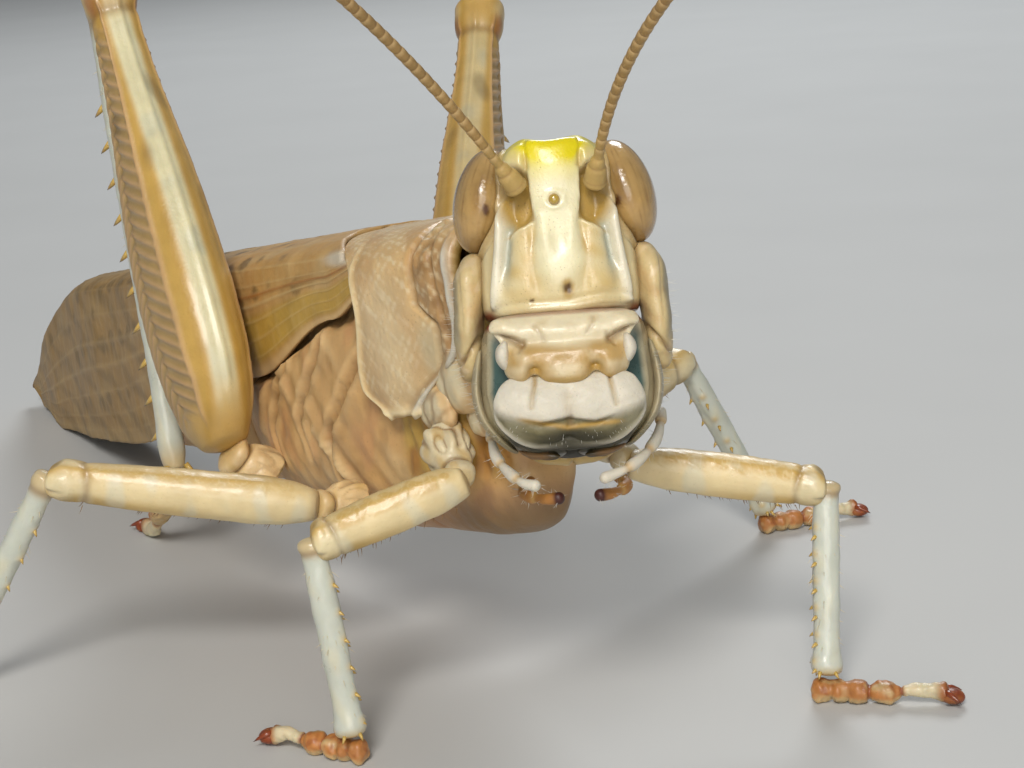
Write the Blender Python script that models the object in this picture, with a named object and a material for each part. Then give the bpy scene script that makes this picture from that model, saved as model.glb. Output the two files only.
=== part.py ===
"""A life-size desert locust, standing with raised hind knees and its head turned to its right.

Metres, +Z up, the floor at Z = 0. The locust faces -Y, and +X is its left side.
Sizes are written in millimetres and turned into metres by MM.
The trunk is built level in its own frame and pitched nose-up; the head has a frame of its own.
"""

import math

import bmesh
import bpy
from mathutils import Matrix, Vector

MM = 0.001

# Stance
BODY_PITCH = 12.0        # the trunk's nose-up slope, degrees
BACK_HEIGHT = 18.1       # height of the pronotum's rear edge over the floor
HEAD_TURN = 31.0         # the head's turn to the locust's right, degrees
HEAD_TILT = 16.8         # how far the face looks up, degrees
HEAD_CENTRE = (-0.1, -13.47, 17.48)

# Trunk, in the trunk's frame: x to the left, y backwards, z up from the back line
PRONOTUM_FRONT = -10.8
PRONOTUM_LOBE_DEPTH = 7.5
PRONOTUM_FRONT_HALF = 3.3
PRONOTUM_REAR_HALF = 4.15
PRONOTUM_WALL = 0.7
THORAX_FRONT = -3.1
THORAX_REAR = 12.0
THORAX_HALF = 3.95
BELLY = -12.9
ABDOMEN_CUTS = (12.4, 20.6, 29.2, 37.6)
WING_ROOT = -3.4
WING_TIP = 52.2
WING_WALL = 0.55
WING_MIDDLE_GAP = 0.13
WING_SHOULDER = 0.34     # the share of the fore wing's width that lies on the back
WING_LOWER_EDGE = ((WING_ROOT, -2.6), (0.0, -3.5), (9.0, -5.8), (20.0, -8.6), (30.0, -9.4), (38.0, -9.3),
                   (45.0, -8.9), (50.0, -7.7), (WING_TIP, -6.4))
WING_HALF = ((WING_ROOT, 3.5), (6.0, 3.6), (20.0, 3.3), (32.0, 2.6), (44.0, 1.75), (WING_TIP, 0.95))
HIND_WING_WALL = 0.5
HIND_WING_START = 1.5
HIND_WING_END = 48.5
HIND_WING_DEPTH = ((HIND_WING_START, 0.2), (16.0, 0.3), (40.0, 0.5), (HIND_WING_END, 0.42))
ABDOMEN_HALF = ((12.0, 3.0), (20.0, 2.7), (30.0, 2.0), (35.0, 1.4), (37.6, 0.8))
ABDOMEN_MIDDLE = ((12.0, -6.2), (22.0, -6.1), (32.0, -6.1), (37.6, -6.4))
ABDOMEN_REACH = ((12.0, 4.6), (22.0, 4.1), (31.0, 3.2), (35.0, 2.1), (37.6, 1.1))
CERCUS = ((0.5, 37.45, -5.6), (0.6, 38.3, -5.3), (0.6, 39.0, -5.2))

# Thin parts
FEELER_RADIUS = 0.26
FEELER_SEGMENTS = 14
JOINT_GAP = 0.22         # the clear space kept between neighbouring pieces
SOCKET_GAP = 0.15

# Colours, linear
CREAM = (0.62, 0.52, 0.36)
IVORY = (0.74, 0.68, 0.52)
WHITE = (0.72, 0.72, 0.66)
SAND = (0.50, 0.36, 0.19)
TAN = (0.42, 0.29, 0.15)
OCHRE = (0.46, 0.30, 0.07)
BROWN = (0.20, 0.12, 0.06)
EYE_BROWN = (0.17, 0.11, 0.065)
ORANGE = (0.50, 0.17, 0.05)
BLUE_WHITE = (0.55, 0.60, 0.52)
TEAL = (0.13, 0.21, 0.21)


# ---------------------------------------------------------------- helpers

def clear_scene():
    for old in list(bpy.data.objects):
        bpy.data.objects.remove(old, do_unlink=True)


def shell_material(name, colour, roughness):
    material = bpy.data.materials.new(name)
    material.use_nodes = True
    shader = material.node_tree.nodes["Principled BSDF"]
    shader.inputs["Base Color"].default_value = (*colour, 1.0)
    shader.inputs["Roughness"].default_value = roughness
    shader.inputs["Metallic"].default_value = 0.0
    return material


def empty_frame(name, matrix, parent=None):
    frame = bpy.data.objects.new(name, None)
    bpy.context.collection.objects.link(frame)
    frame.parent = parent
    frame.matrix_local = matrix
    return frame


def add_object(name, mesh_data, parent, colour, roughness=0.4, local=None):
    """Close the mesh's normals outwards and place it under its frame."""
    bmesh.ops.recalc_face_normals(mesh_data, faces=mesh_data.faces[:])
    if mesh_data.calc_volume(signed=True) < 0.0:
        bmesh.ops.reverse_faces(mesh_data, faces=mesh_data.faces[:])
    mesh = bpy.data.meshes.new(name)
    mesh_data.to_mesh(mesh)
    mesh_data.free()
    mesh.shade_smooth()
    mesh.set_sharp_from_angle(angle=math.radians(40.0))
    mesh.materials.append(shell_material(name + "_shell", colour, roughness))
    piece = bpy.data.objects.new(name, mesh)
    bpy.context.collection.objects.link(piece)
    piece.parent = parent
    if local is not None:
        piece.matrix_local = local
    return piece


def oval(centre, side, up, half_side, rise, drop, count, power=2.0):
    """A closed ring: half_side wide each way, rise above the centre and drop below it."""
    ring = []
    for step in range(count):
        angle = 2.0 * math.pi * (step + 0.5) / count
        across = math.copysign(abs(math.cos(angle)) ** (2.0 / power), math.cos(angle))
        along = math.copysign(abs(math.sin(angle)) ** (2.0 / power), math.sin(angle))
        height = rise if along > 0.0 else drop
        ring.append(centre + side * (across * half_side) + up * (along * height))
    return ring


def join_rings(rings, front_pole, rear_pole):
    """Bridge a row of equal rings and close both ends on a pole."""
    data = bmesh.new()
    rows = [[data.verts.new(point * MM) for point in ring] for ring in rings]
    count = len(rows[0])
    for near, far in zip(rows, rows[1:]):
        for i in range(count):
            j = (i + 1) % count
            data.faces.new((near[i], near[j], far[j], far[i]))
    for row, pole in ((rows[0], front_pole), (rows[-1], rear_pole)):
        tip = data.verts.new(pole * MM)
        for i in range(count):
            data.faces.new((row[i], row[(i + 1) % count], tip))
    return data


def loft_back(stations, count, power=2.0, bulge=0.3):
    """Rings along +Y. A station is (y, x, z, half width, rise, drop)."""
    side, up = Vector((1, 0, 0)), Vector((0, 0, 1))
    rings = [oval(Vector((x, y, z)), side, up, half, rise, drop, count, power)
             for y, x, z, half, rise, drop in stations]
    first, last = stations[0], stations[-1]
    return join_rings(rings,
                      Vector((first[1], first[0] - bulge, first[2])),
                      Vector((last[1], last[0] + bulge, last[2])))


def loft_down(stations, count, power=2.0, bulge=0.2):
    """Rings from the top down. A station is (z, x, half width, front y, rear y)."""
    side, ahead = Vector((1, 0, 0)), Vector((0, -1, 0))
    rings = []
    for z, x, half, front, rear in stations:
        middle = 0.5 * (front + rear)
        reach = 0.5 * (rear - front)
        rings.append(oval(Vector((x, middle, z)), side, ahead, half, reach, reach, count, power))
    first, last = stations[0], stations[-1]
    return join_rings(rings,
                      Vector((first[1], 0.5 * (first[3] + first[4]), first[0] + bulge)),
                      Vector((last[1], 0.5 * (last[3] + last[4]), last[0] - bulge)))


def loft_limb(stations, count, power=2.0, bulge=0.12):
    """Rings along +X. A station is (x, z, half thickness, rise, drop)."""
    side, up = Vector((0, 1, 0)), Vector((0, 0, 1))
    rings = [oval(Vector((x, 0, z)), side, up, half, rise, drop, count, power)
             for x, z, half, rise, drop in stations]
    first, last = stations[0], stations[-1]
    return join_rings(rings,
                      Vector((first[0] - bulge, 0, first[1])),
                      Vector((last[0] + bulge, 0, last[1])))


def loft_path(points, radii, count, flat_floor=False):
    """A round rod along a path; a rod on the floor is flattened where it would sink in."""
    rings = []
    for i, point in enumerate(points):
        ahead = points[min(i + 1, len(points) - 1)] - points[max(i - 1, 0)]
        ahead.normalize()
        side = ahead.cross(Vector((0, 0, 1)))
        side.normalize()
        up = side.cross(ahead)
        ring = oval(point, side, up, radii[i], radii[i], radii[i], count)
        if flat_floor:
            ring = [Vector((p.x, p.y, max(p.z, 0.0))) for p in ring]
        rings.append(ring)
    start_way = (points[0] - points[1]).normalized()
    end_way = (points[-1] - points[-2]).normalized()
    return join_rings(rings,
                      points[0] + start_way * radii[0] * 0.5,
                      points[-1] + end_way * radii[-1] * 0.5)


def curved_plate(outer, inner):
    """Two equal grids of points joined round their rim into one closed plate."""
    data = bmesh.new()
    faces_of = []
    for grid in (outer, inner):
        faces_of.append([[data.verts.new(point * MM) for point in row] for row in grid])
    rows, columns = len(outer), len(outer[0])
    for grid in faces_of:
        for i in range(rows - 1):
            for j in range(columns - 1):
                data.faces.new((grid[i][j], grid[i][j + 1], grid[i + 1][j + 1], grid[i + 1][j]))
    rim = [(0, j) for j in range(columns)]
    rim += [(i, columns - 1) for i in range(1, rows)]
    rim += [(rows - 1, j) for j in range(columns - 2, -1, -1)]
    rim += [(i, 0) for i in range(rows - 2, 0, -1)]
    for (a, b), (c, d) in zip(rim, rim[1:] + rim[:1]):
        data.faces.new((faces_of[0][a][b], faces_of[0][c][d], faces_of[1][c][d], faces_of[1][a][b]))
    return data


def draw_out(data, near, reach, way):
    """Raise a spine or claw from the face nearest a point."""
    data.faces.ensure_lookup_table()
    target = Vector(near) * MM
    face = min(data.faces, key=lambda f: (f.calc_center_median() - target).length)
    poked = bmesh.ops.poke(data, faces=[face])
    poked["verts"][0].co += Vector(way).normalized() * reach * MM


def smooth_step(value, low, high):
    t = min(max((value - low) / (high - low), 0.0), 1.0)
    return t * t * (3.0 - 2.0 * t)


def between(value, table):
    """Read a curve given by a few (place, value) pairs, eased between them."""
    for (a, va), (b, vb) in zip(table, table[1:]):
        if value <= b:
            return va + (vb - va) * smooth_step(value, a, b)
    return table[-1][1]


def side_name(side):
    return "left" if side > 0 else "right"


def aim(start, end, top):
    """A frame at start with +X towards end and +Z as near to top as it can be."""
    ahead = (end - start).normalized()
    side = top.cross(ahead).normalized()
    up = ahead.cross(side)
    turn = Matrix((ahead, side, up)).transposed().to_4x4()
    return Matrix.Translation(start * MM) @ turn


def as_cutter(piece):
    piece.hide_render = True
    piece.display_type = "WIRE"
    return piece


def cut_with(piece, cutter):
    cut = piece.modifiers.new("cut_" + cutter.name, "BOOLEAN")
    cut.operation = "DIFFERENCE"
    cut.solver = "EXACT"
    cut.object = cutter


# ---------------------------------------------------------------- trunk

def arch_point(y, across, grow):
    """The saddle's cross-section; across runs from -1, the right lobe's edge, to 1, the left's."""
    front = 1.0 - smooth_step(y, PRONOTUM_FRONT, -4.0)
    half = PRONOTUM_REAR_HALF + (PRONOTUM_FRONT_HALF - PRONOTUM_REAR_HALF) * front
    angle = min(abs(across) / 0.42, 1.0) * 0.5 * math.pi
    shoulder = 2.2
    lobe = max(abs(across) - 0.42, 0.0) / 0.58
    depth = PRONOTUM_LOBE_DEPTH - 0.5 * front
    x = (half + grow) * math.sin(angle) ** 0.8 - 0.35 * lobe * lobe
    z = (shoulder + grow) * math.cos(angle) ** 0.75 - shoulder - (depth - shoulder) * lobe
    return math.copysign(x, across) if across else 0.0, z


def pronotum_rear(away):
    """The rear edge curves forward from the middle line to the lobes, whose lower corners are round."""
    return -3.6 * smooth_step(away, 0.02, 0.4) - 2.1 * smooth_step(away, 0.86, 1.0)


def make_pronotum(body):
    columns, rows = 18, 7
    grids = []
    for grow in (0.0, -PRONOTUM_WALL):
        grid = []
        for i in range(rows + 1):
            back = i / rows
            row = []
            for j in range(columns + 1):
                across = -1.0 + 2.0 * j / columns
                away = abs(across)
                front_edge = PRONOTUM_FRONT + 0.2 * away + 1.9 * smooth_step(away, 0.6, 1.0)
                y = front_edge + (pronotum_rear(away) - front_edge) * back
                x, z = arch_point(y, across, grow)
                crease = 0.16 * math.exp(-((y + 6.4) / 0.35) ** 2)
                crease *= 1.0 if grow == 0.0 and away < 0.8 else 0.0
                row.append(Vector((x * (1.0 - 0.03 * crease), y, z - crease)))
            grid.append(row)
        grids.append(grid)
    add_object("pronotum", curved_plate(*grids), body, SAND, 0.45)


def make_trunk(body):
    prothorax = [
        (-9.5, 0, -5.6, 1.4, 3.4, 5.4), (-8.7, 0, -6.0, 1.8, 4.4, 6.3), (-7.2, 0, -6.1, 2.35, 4.7, 6.7),
        (-5.0, 0, -6.1, 2.9, 4.8, 6.8), (-3.75, 0, -6.1, 2.8, 4.7, 6.7),
    ]
    add_object("prothorax", loft_back(prothorax, 16, 2.4, 0.12), body, TAN, 0.5)
    thorax = [
        (THORAX_FRONT - 0.2, 0, -6.8, 2.9, 4.8, 5.9),
        (THORAX_FRONT + 0.5, 0, -6.8, 3.3, 5.1, 6.1),
        (-0.6, 0, -6.8, THORAX_HALF - 0.25, 5.5, -BELLY - 6.8),
        (3.4, 0, -6.8, THORAX_HALF, 5.8, -BELLY - 6.8),
        (7.0, 0, -6.7, THORAX_HALF - 0.1, 5.7, -BELLY - 6.8),
        (10.2, 0, -6.4, 3.5, 5.4, 5.4),
        (THORAX_REAR, 0, -6.2, 3.1, 5.2, 4.8),
    ]
    chest = add_object("thorax", loft_back(thorax, 18, 2.7, 0.12), body, TAN, 0.5)
    for side in (1, -1):
        cut_with(chest, bpy.data.objects["wing_room_" + side_name(side)])


def neck_tube(grow):
    stations = [(-12.1, -3.7, 1.5, 1.6), (-10.9, -3.8, 1.9, 2.3), (-9.95, -4.2, 2.0, 2.6)]
    rings = [(y, 0.0, z, half + grow, tall + grow, tall + grow) for y, z, half, tall in stations]
    return loft_back(rings, 14, 2.2, 0.1 + grow)


def make_abdomen(body):
    names = ("abdomen_front", "abdomen_middle", "abdomen_rear")
    for name, start, end in zip(names, ABDOMEN_CUTS, ABDOMEN_CUTS[1:]):
        stations = []
        steps = 5
        for i in range(steps + 1):
            y = start + (end - JOINT_GAP * 1.6 - start) * i / steps
            half = between(y, ABDOMEN_HALF)
            middle = between(y, ABDOMEN_MIDDLE)
            reach = between(y, ABDOMEN_REACH)
            plate = 0.07 if i % 2 else 0.0
            stations.append((y, 0, middle, half - plate, reach - plate, reach - plate))
        ring = add_object(name, loft_back(stations, 12, 2.2, 0.06), body, TAN, 0.5)
        for side in (1, -1):
            cut_with(ring, bpy.data.objects["wing_room_" + side_name(side)])
    for side in (1, -1):
        points = [Vector((side * x, y, z)) for x, y, z in CERCUS]
        data = loft_path(points, (0.27, 0.3, 0.2), 8)
        add_object("cercus_" + side_name(side), data, body, TAN, 0.5)


def wing_point(y, down, grow):
    """The folded fore wing's cross-section; down runs from 0, the middle line, to 1, the lower edge."""
    top = 0.1 - 0.0195 * max(y - 34.5, 0.0) ** 2
    low = between(y, WING_LOWER_EDGE)
    flat = between(y, WING_HALF)
    bend = min(down / WING_SHOULDER, 1.0) * 0.5 * math.pi
    fall = max(down - WING_SHOULDER, 0.0) / (1.0 - WING_SHOULDER)
    shoulder = min(1.25, 0.35 * (top - low))
    x = WING_MIDDLE_GAP + (flat - WING_MIDDLE_GAP + grow) * math.sin(bend) ** 0.9
    belly = smooth_step(y, WING_ROOT, 6.0) * (1.0 - smooth_step(y, 30.0, 50.0))
    x += 0.2 * math.sin(math.pi * min(fall, 1.0)) * belly
    z = top - shoulder + (shoulder + grow) * math.cos(bend) ** 0.8 - fall * (top - shoulder - low)
    return x, z


def wing_root(down):
    """The root edge keeps just behind the pronotum's rear edge."""
    return 0.5 - 2.2 * smooth_step(down, 0.08, 0.32) - 1.4 * smooth_step(down, 0.36, 0.52)


def make_wing_rooms(body):
    """The space that the folded wings need at the trunk's flanks, used to cut the trunk."""
    depth = WING_WALL + HIND_WING_WALL + 3.0 * SOCKET_GAP
    front, rear = WING_ROOT - 1.2, 41.0
    rows, columns, overhang = 8, 7, 1.05
    for side in (1, -1):
        grids = []
        for grow in (2.5, -depth):
            grid = []
            for i in range(rows + 1):
                y = front + (rear - front) * i / rows
                row = []
                for j in range(columns + 1):
                    x, z = wing_point(y, overhang * j / columns, grow)
                    row.append(Vector((side * (x if j else -0.3), y, z)))
                grid.append(row)
            grids.append(grid)
        room = add_object("wing_room_" + side_name(side), curved_plate(*grids), body, BROWN)
        as_cutter(room)


def make_wings(body):
    rows, columns = 12, 7
    for side in (1, -1):
        grids = []
        for grow in (0.0, -WING_WALL):
            grid = []
            for i in range(rows + 1):
                row = []
                for j in range(columns + 1):
                    down = j / columns
                    y = wing_root(down) + (WING_TIP - wing_root(down)) * (i / rows) ** 0.92
                    x, z = wing_point(y, down, grow)
                    row.append(Vector((side * x, y, z)))
                grid.append(row)
            grids.append(grid)
        add_object("tegmen_" + side_name(side), curved_plate(*grids), body, TAN, 0.5)


def make_hind_wings(body):
    """The hind wings lie pleated inside the fore wings and end a little short of their tips."""
    rows, columns = 9, 3
    outside = -WING_WALL - 1.5 * SOCKET_GAP
    for side in (1, -1):
        grids = []
        for grow in (outside, outside - HIND_WING_WALL):
            grid = []
            for i in range(rows + 1):
                y = HIND_WING_START + (HIND_WING_END - HIND_WING_START) * i / rows
                row = []
                for j in range(columns + 1):
                    down = WING_SHOULDER + 0.02 + between(y, HIND_WING_DEPTH) * j / columns
                    x, z = wing_point(y, down, grow)
                    row.append(Vector((side * x, y, z)))
                grid.append(row)
            grids.append(grid)
        add_object("hind_wing_" + side_name(side), curved_plate(*grids), body, CREAM, 0.5)


# ---------------------------------------------------------------- head

EYE_CENTRE = (2.58, -1.35, 3.35)
EYE_RADII = (1.05, 1.7, 1.95)
EYE_LEAN = 11.0
PALP_RADII = (0.27, 0.3, 0.27, 0.25)
PALPS = {
    "maxillary_palp_right": (
        (-2.95, 0.1, -4.9), (-2.75, -1.1, -6.0), (-2.0, -2.4, -6.85), (-1.3, -2.9, -7.1)),
    "maxillary_palp_left": (
        (3.45, -0.2, -4.6), (3.1, -1.3, -5.7), (2.15, -2.6, -6.55), (0.95, -3.1, -7.0)),
    "labial_palp_right": (
        (-1.5, 0.7, -6.9), (-1.9, -0.5, -7.35), (-1.2, -1.5, -7.6), (-0.45, -1.9, -7.6)),
    "labial_palp_left": (
        (1.5, 0.7, -6.9), (1.95, -0.6, -7.3), (1.4, -1.6, -7.55), (0.75, -2.0, -7.6)),
}


def eyeball(grow):
    data = bmesh.new()
    bmesh.ops.create_uvsphere(data, u_segments=12, v_segments=8, radius=1.0)
    for vert in data.verts:
        for axis in range(3):
            vert.co[axis] *= (EYE_RADII[axis] + grow) * MM
    return data


def make_head(head, body):
    capsule = [
        (5.42, 0, 0.95, -2.85, 0.6), (5.15, 0, 1.6, -3.4, 1.2), (4.6, 0, 2.15, -3.65, 1.7),
        (3.6, 0, 2.55, -3.7, 2.1), (2.3, 0, 2.8, -3.7, 2.2), (0.9, 0, 2.9, -3.75, 2.0),
        (-0.4, 0, 2.92, -3.8, 1.7), (-1.1, 0, 2.8, -3.65, 1.4),
    ]
    data = loft_down(capsule, 20, 2.7, 0.1)
    for vert in data.verts:
        # the back of the head narrows towards the neck
        back = smooth_step(vert.co.y / MM, -0.8, 2.2)
        vert.co.x *= 1.0 - 0.37 * back
    skull = add_object("head", data, head, IVORY, 0.35)
    for side in (1, -1):
        lean = Matrix.Rotation(math.radians(-side * EYE_LEAN), 4, "Y")
        place = Matrix.Translation(Vector((side * EYE_CENTRE[0], EYE_CENTRE[1], EYE_CENTRE[2])) * MM) @ lean
        add_object("eye_" + side_name(side), eyeball(0.0), head, EYE_BROWN, 0.15, place)
        socket = add_object("socket_" + side_name(side), eyeball(SOCKET_GAP), head, BROWN, 0.5, place)
        cut_with(skull, as_cutter(socket))
    add_object("neck", neck_tube(0.0), body, OCHRE, 0.5)
    neck_room = add_object("neck_room", neck_tube(0.36), body, BROWN)
    cut_with(skull, as_cutter(neck_room))


def make_face(head):
    clypeus = [
        (-1.32, 0, 2.55, -4.1, -3.35), (-1.8, 0, 2.7, -4.4, -3.35), (-2.5, 0, 2.15, -4.5, -3.35),
        (-3.0, 0, 2.3, -4.5, -3.35), (-3.35, 0, 2.15, -4.2, -3.35),
    ]
    add_object("clypeus", loft_down(clypeus, 16, 2.8, 0.05), head, CREAM, 0.3)
    labrum = [
        (-3.62, 0, 1.9, -4.25, -3.35), (-3.95, 0, 2.6, -4.5, -3.35), (-4.6, 0, 2.78, -4.6, -3.3),
        (-5.1, 0, 2.3, -4.5, -3.2), (-5.4, 0, 1.4, -4.2, -3.2),
    ]
    add_object("labrum", loft_down(labrum, 16, 2.7, 0.05), head, WHITE, 0.35)
    for side in (1, -1):
        cheek = [
            (1.3, side * 3.32, 0.26, -1.8, -0.4), (0.9, side * 3.42, 0.36, -2.3, 0.0),
            (-0.6, side * 3.5, 0.4, -2.5, 0.2), (-2.0, side * 3.6, 0.38, -2.4, 0.0),
            (-2.9, side * 3.6, 0.32, -1.9, -0.3), (-3.2, side * 3.55, 0.22, -1.5, -0.7),
        ]
        add_object("cheek_" + side_name(side), loft_down(cheek, 10, 2.3, 0.06), head, CREAM, 0.35)
        jaw = [
            (-1.42, side * 1.42, 1.27, -3.05, -0.1), (-2.4, side * 1.54, 1.4, -3.1, 0.2),
            (-3.7, side * 1.64, 1.54, -3.05, 0.2), (-4.8, side * 1.55, 1.44, -3.0, 0.0),
            (-5.55, side * 1.15, 1.04, -3.0, -0.5), (-6.0, side * 0.72, 0.6, -2.8, -1.2),
        ]
        add_object("mandible_" + side_name(side), loft_down(jaw, 10, 2.5, 0.08), head, TEAL, 0.3)
    lip = [
        (-2.1, 0, 1.6, 0.4, 0.85), (-3.2, 0, 2.1, 0.4, 1.0),
        (-5.2, 0, 2.1, 0.3, 1.05), (-6.2, 0, 1.5, 0.15, 0.85),
    ]
    add_object("labium", loft_down(lip, 14, 2.4, 0.08), head, CREAM, 0.4)
    for name, places in PALPS.items():
        add_object(name, loft_path([Vector(p) for p in places], PALP_RADII, 8), head, WHITE, 0.4)


def curve_point(start, control, end, t):
    return start.lerp(control, t).lerp(control.lerp(end, t), t)


def make_feelers(head):
    """Each feeler has a stout first joint and a slender beaded rod, and rises forwards in a slight bow."""
    ways = {
        1: ((1.5, -3.95, 3.75), (2.2, -8.4, 7.6), (5.4, -15.6, 9.2)),
        -1: ((-1.5, -3.95, 3.75), (-4.5, -8.2, 7.9), (-8.0, -15.4, 10.1)),
    }
    for side, places in ways.items():
        start, control, end = (Vector(p) for p in places)
        points, radii = [], []
        for t, radius in ((0.0, 0.34), (0.022, 0.42), (0.05, 0.34)):
            points.append(curve_point(start, control, end, t))
            radii.append(radius)
        for i in range(FEELER_SEGMENTS + 1):
            t = 0.085 + 0.915 * i / FEELER_SEGMENTS
            points.append(curve_point(start, control, end, t))
            radii.append(FEELER_RADIUS + (0.02 if i % 2 else 0.0))
        add_object("antenna_" + side_name(side), loft_path(points, radii, 6), head, SAND, 0.4)


# ---------------------------------------------------------------- legs
# Joint places over the floor: root on the trunk, hip, knee, ankle, toe.

LEGS = {
    "fore_right": (
        (-3.2, -9.2, 11.35), (-3.4, -11.6, 10.5), (-9.2, -9.3, 8.6), (-8.9, -10.5, 0.75), (-10.9, -6.7, 0.4)),
    "fore_left": (
        (3.2, -9.4, 10.6), (3.4, -11.6, 9.5), (9.8, -16.3, 8.1), (8.25, -17.9, 0.75), (11.9, -21.5, 0.4)),
    "mid_right": (
        (-4.1, -2.6, 7.4), (-5.8, -3.3, 7.8), (-15.4, 2.4, 9.8), (-19.4, 6.8, 0.75), (-23.2, 9.6, 0.4)),
    "mid_left": (
        (4.1, -2.6, 7.4), (5.6, -3.1, 7.8), (15.0, 0.3, 9.1), (18.7, -1.1, 0.75), (23.4, -2.4, 0.4)),
    "hind_right": (
        (-4.5, 5.6, 6.6), (-6.1, 5.6, 7.7), (-4.7, 18.6, 28.7), (-5.8, 13.2, 5.1), (-4.8, 21.4, 0.4)),
    "hind_left": (
        (4.5, 5.8, 6.6), (6.2, 6.0, 7.7), (17.0, 19.9, 24.5), (15.6, 17.4, 1.1), (16.4, 25.6, 0.4)),
}
KNEE_ROOM = 0.75         # the femur stops this far short of the knee's centre
SHIN_DROP = 0.95         # the folded hind shin hangs this far below the femur's axis

# half thickness, rise and drop of each long segment, by fraction of its length
FORE_FEMUR = ((0.0, 0.5, 0.5, 0.5), (0.1, 0.7, 0.76, 0.74), (0.45, 0.82, 0.92, 0.88),
              (0.8, 0.8, 0.9, 0.85), (0.94, 0.78, 0.86, 0.8), (1.0, 0.6, 0.68, 0.58))
MID_FEMUR = ((0.0, 0.6, 0.58, 0.58), (0.1, 0.85, 0.9, 0.88), (0.45, 0.94, 1.0, 0.98),
             (0.8, 0.84, 0.92, 0.88), (0.94, 0.8, 0.9, 0.82), (1.0, 0.6, 0.68, 0.58))
HIND_FEMUR = ((0.0, 0.9, 1.0, 1.0), (0.04, 1.3, 1.9, 1.9), (0.12, 1.7, 2.8, 2.6), (0.24, 1.9, 3.15, 2.95),
              (0.38, 1.85, 3.0, 2.6), (0.52, 1.65, 2.7, 1.9), (0.66, 1.35, 2.2, 1.1), (0.78, 1.15, 1.8, 0.6),
              (0.87, 1.1, 1.7, 0.35), (0.94, 1.2, 1.9, 0.4), (0.985, 1.05, 1.7, 0.4), (1.0, 0.6, 1.1, 0.2))


def make_coxa(name, root, end, radius, stance):
    points = [root.lerp(end, t) for t in (0.0, 0.3, 0.62, 0.84)]
    radii = (radius * 0.9, radius * 1.1, radius * 0.95, radius * 0.65)
    add_object("coxa_" + name, loft_path(points, radii, 8), stance, CREAM, 0.45)


def make_femur(name, hip, knee, profile, top, stance, hind):
    length = (knee - hip).length
    start = 0.55 if hind else 0.3
    end = length - (0.1 if hind else KNEE_ROOM)
    stations = [(start + (end - start) * f, 0.0, half, rise, drop) for f, half, rise, drop in profile]
    data = loft_limb(stations, 12 if hind else 10, 2.3 if hind else 2.0)
    add_object("femur_" + name, data, stance, CREAM, 0.35, aim(hip, knee, top))


def make_tibia(name, knee, ankle, top, stance, hind):
    """A slim rod with a bent head, two rows of spines and spurs at its lower end."""
    reach = (ankle - knee).length
    start = 0.55 if hind else -0.35
    end = reach - 0.5
    radius = 0.62
    head = 0.6 if hind else 0.5
    rows = 7 if hind else 4
    half_base = 0.2
    stations = [(start, 0.0, head * 0.8, head * 0.8, head * 0.8),
                (start + 0.5, 0.0, head * 1.05, head * 1.1, head * 1.1)]
    places = []
    for i in range(rows):
        place = start + (end - start) * (0.3 + 0.6 * i / (rows - 1))
        places.append(place)
        for x in (place - half_base, place + half_base):
            stations.append((x, 0.0, radius * 0.92, radius * 0.95, radius * 0.95))
    stations.append((end - 0.35, 0.0, radius * 1.1, radius * 1.15, radius * 1.1))
    stations.append((end, 0.0, radius * 0.85, radius * 0.9, radius * 0.9))
    data = loft_limb(stations, 8)
    # spines stand behind the hind shin, and inside the bend of a walking shin
    lean = 0.5 if hind else -0.5
    for place in places:
        for side in (1, -1):
            spot = (place, side * radius * 0.5, lean * radius * 1.6)
            draw_out(data, spot, 0.85 if hind else 0.45, (0.45, side * 0.5, lean * 1.6))
    for side in (1, -1):
        spot = (end - 0.15, side * radius, -lean * radius)
        draw_out(data, spot, 0.7 if hind else 0.4, (0.5, side * 0.8, -lean))
    add_object("tibia_" + name, data, stance, BLUE_WHITE, 0.3, aim(knee, ankle, top))


def make_tarsus(name, ankle, toe, stance, hind):
    """Three padded joints, a round end pad and two claws; the pads are flat on the floor."""
    high = ankle.z > 1.5
    first = 0.1 if high else -0.1
    profile = ((first, 0.34), (first + 0.08, 0.44), (0.3, 0.52), (0.38, 0.36), (0.46, 0.46), (0.54, 0.34),
               (0.66, 0.3), (0.8, 0.33), (0.88, 0.5), (0.96, 0.46), (1.0, 0.3))
    size = 1.15 if hind else 1.0
    points, radii = [], []
    for fraction, radius in profile:
        point = ankle.lerp(toe, fraction)
        if high:
            bow = smooth_step(fraction, 0.0, 0.85)
            point.z = ankle.z + (toe.z - ankle.z) * bow
        else:
            pad = fraction < 0.6 or fraction > 0.84
            point.z = 0.42 * size if pad else 0.62
        points.append(point)
        radii.append(radius * size)
    data = loft_path(points, radii, 8, flat_floor=True)
    ahead = (toe - ankle).normalized()
    side_way = ahead.cross(Vector((0, 0, 1))).normalized()
    for side in (1, -1):
        spot = points[-2].lerp(points[-1], 0.5) + side_way * side * 0.4 + Vector((0, 0, 0.15))
        draw_out(data, spot, 0.75, ahead * 1.0 + side_way * side * 0.8 + Vector((0, 0, 0.1)))
    add_object("tarsus_" + name, data, stance, ORANGE, 0.35)


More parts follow.
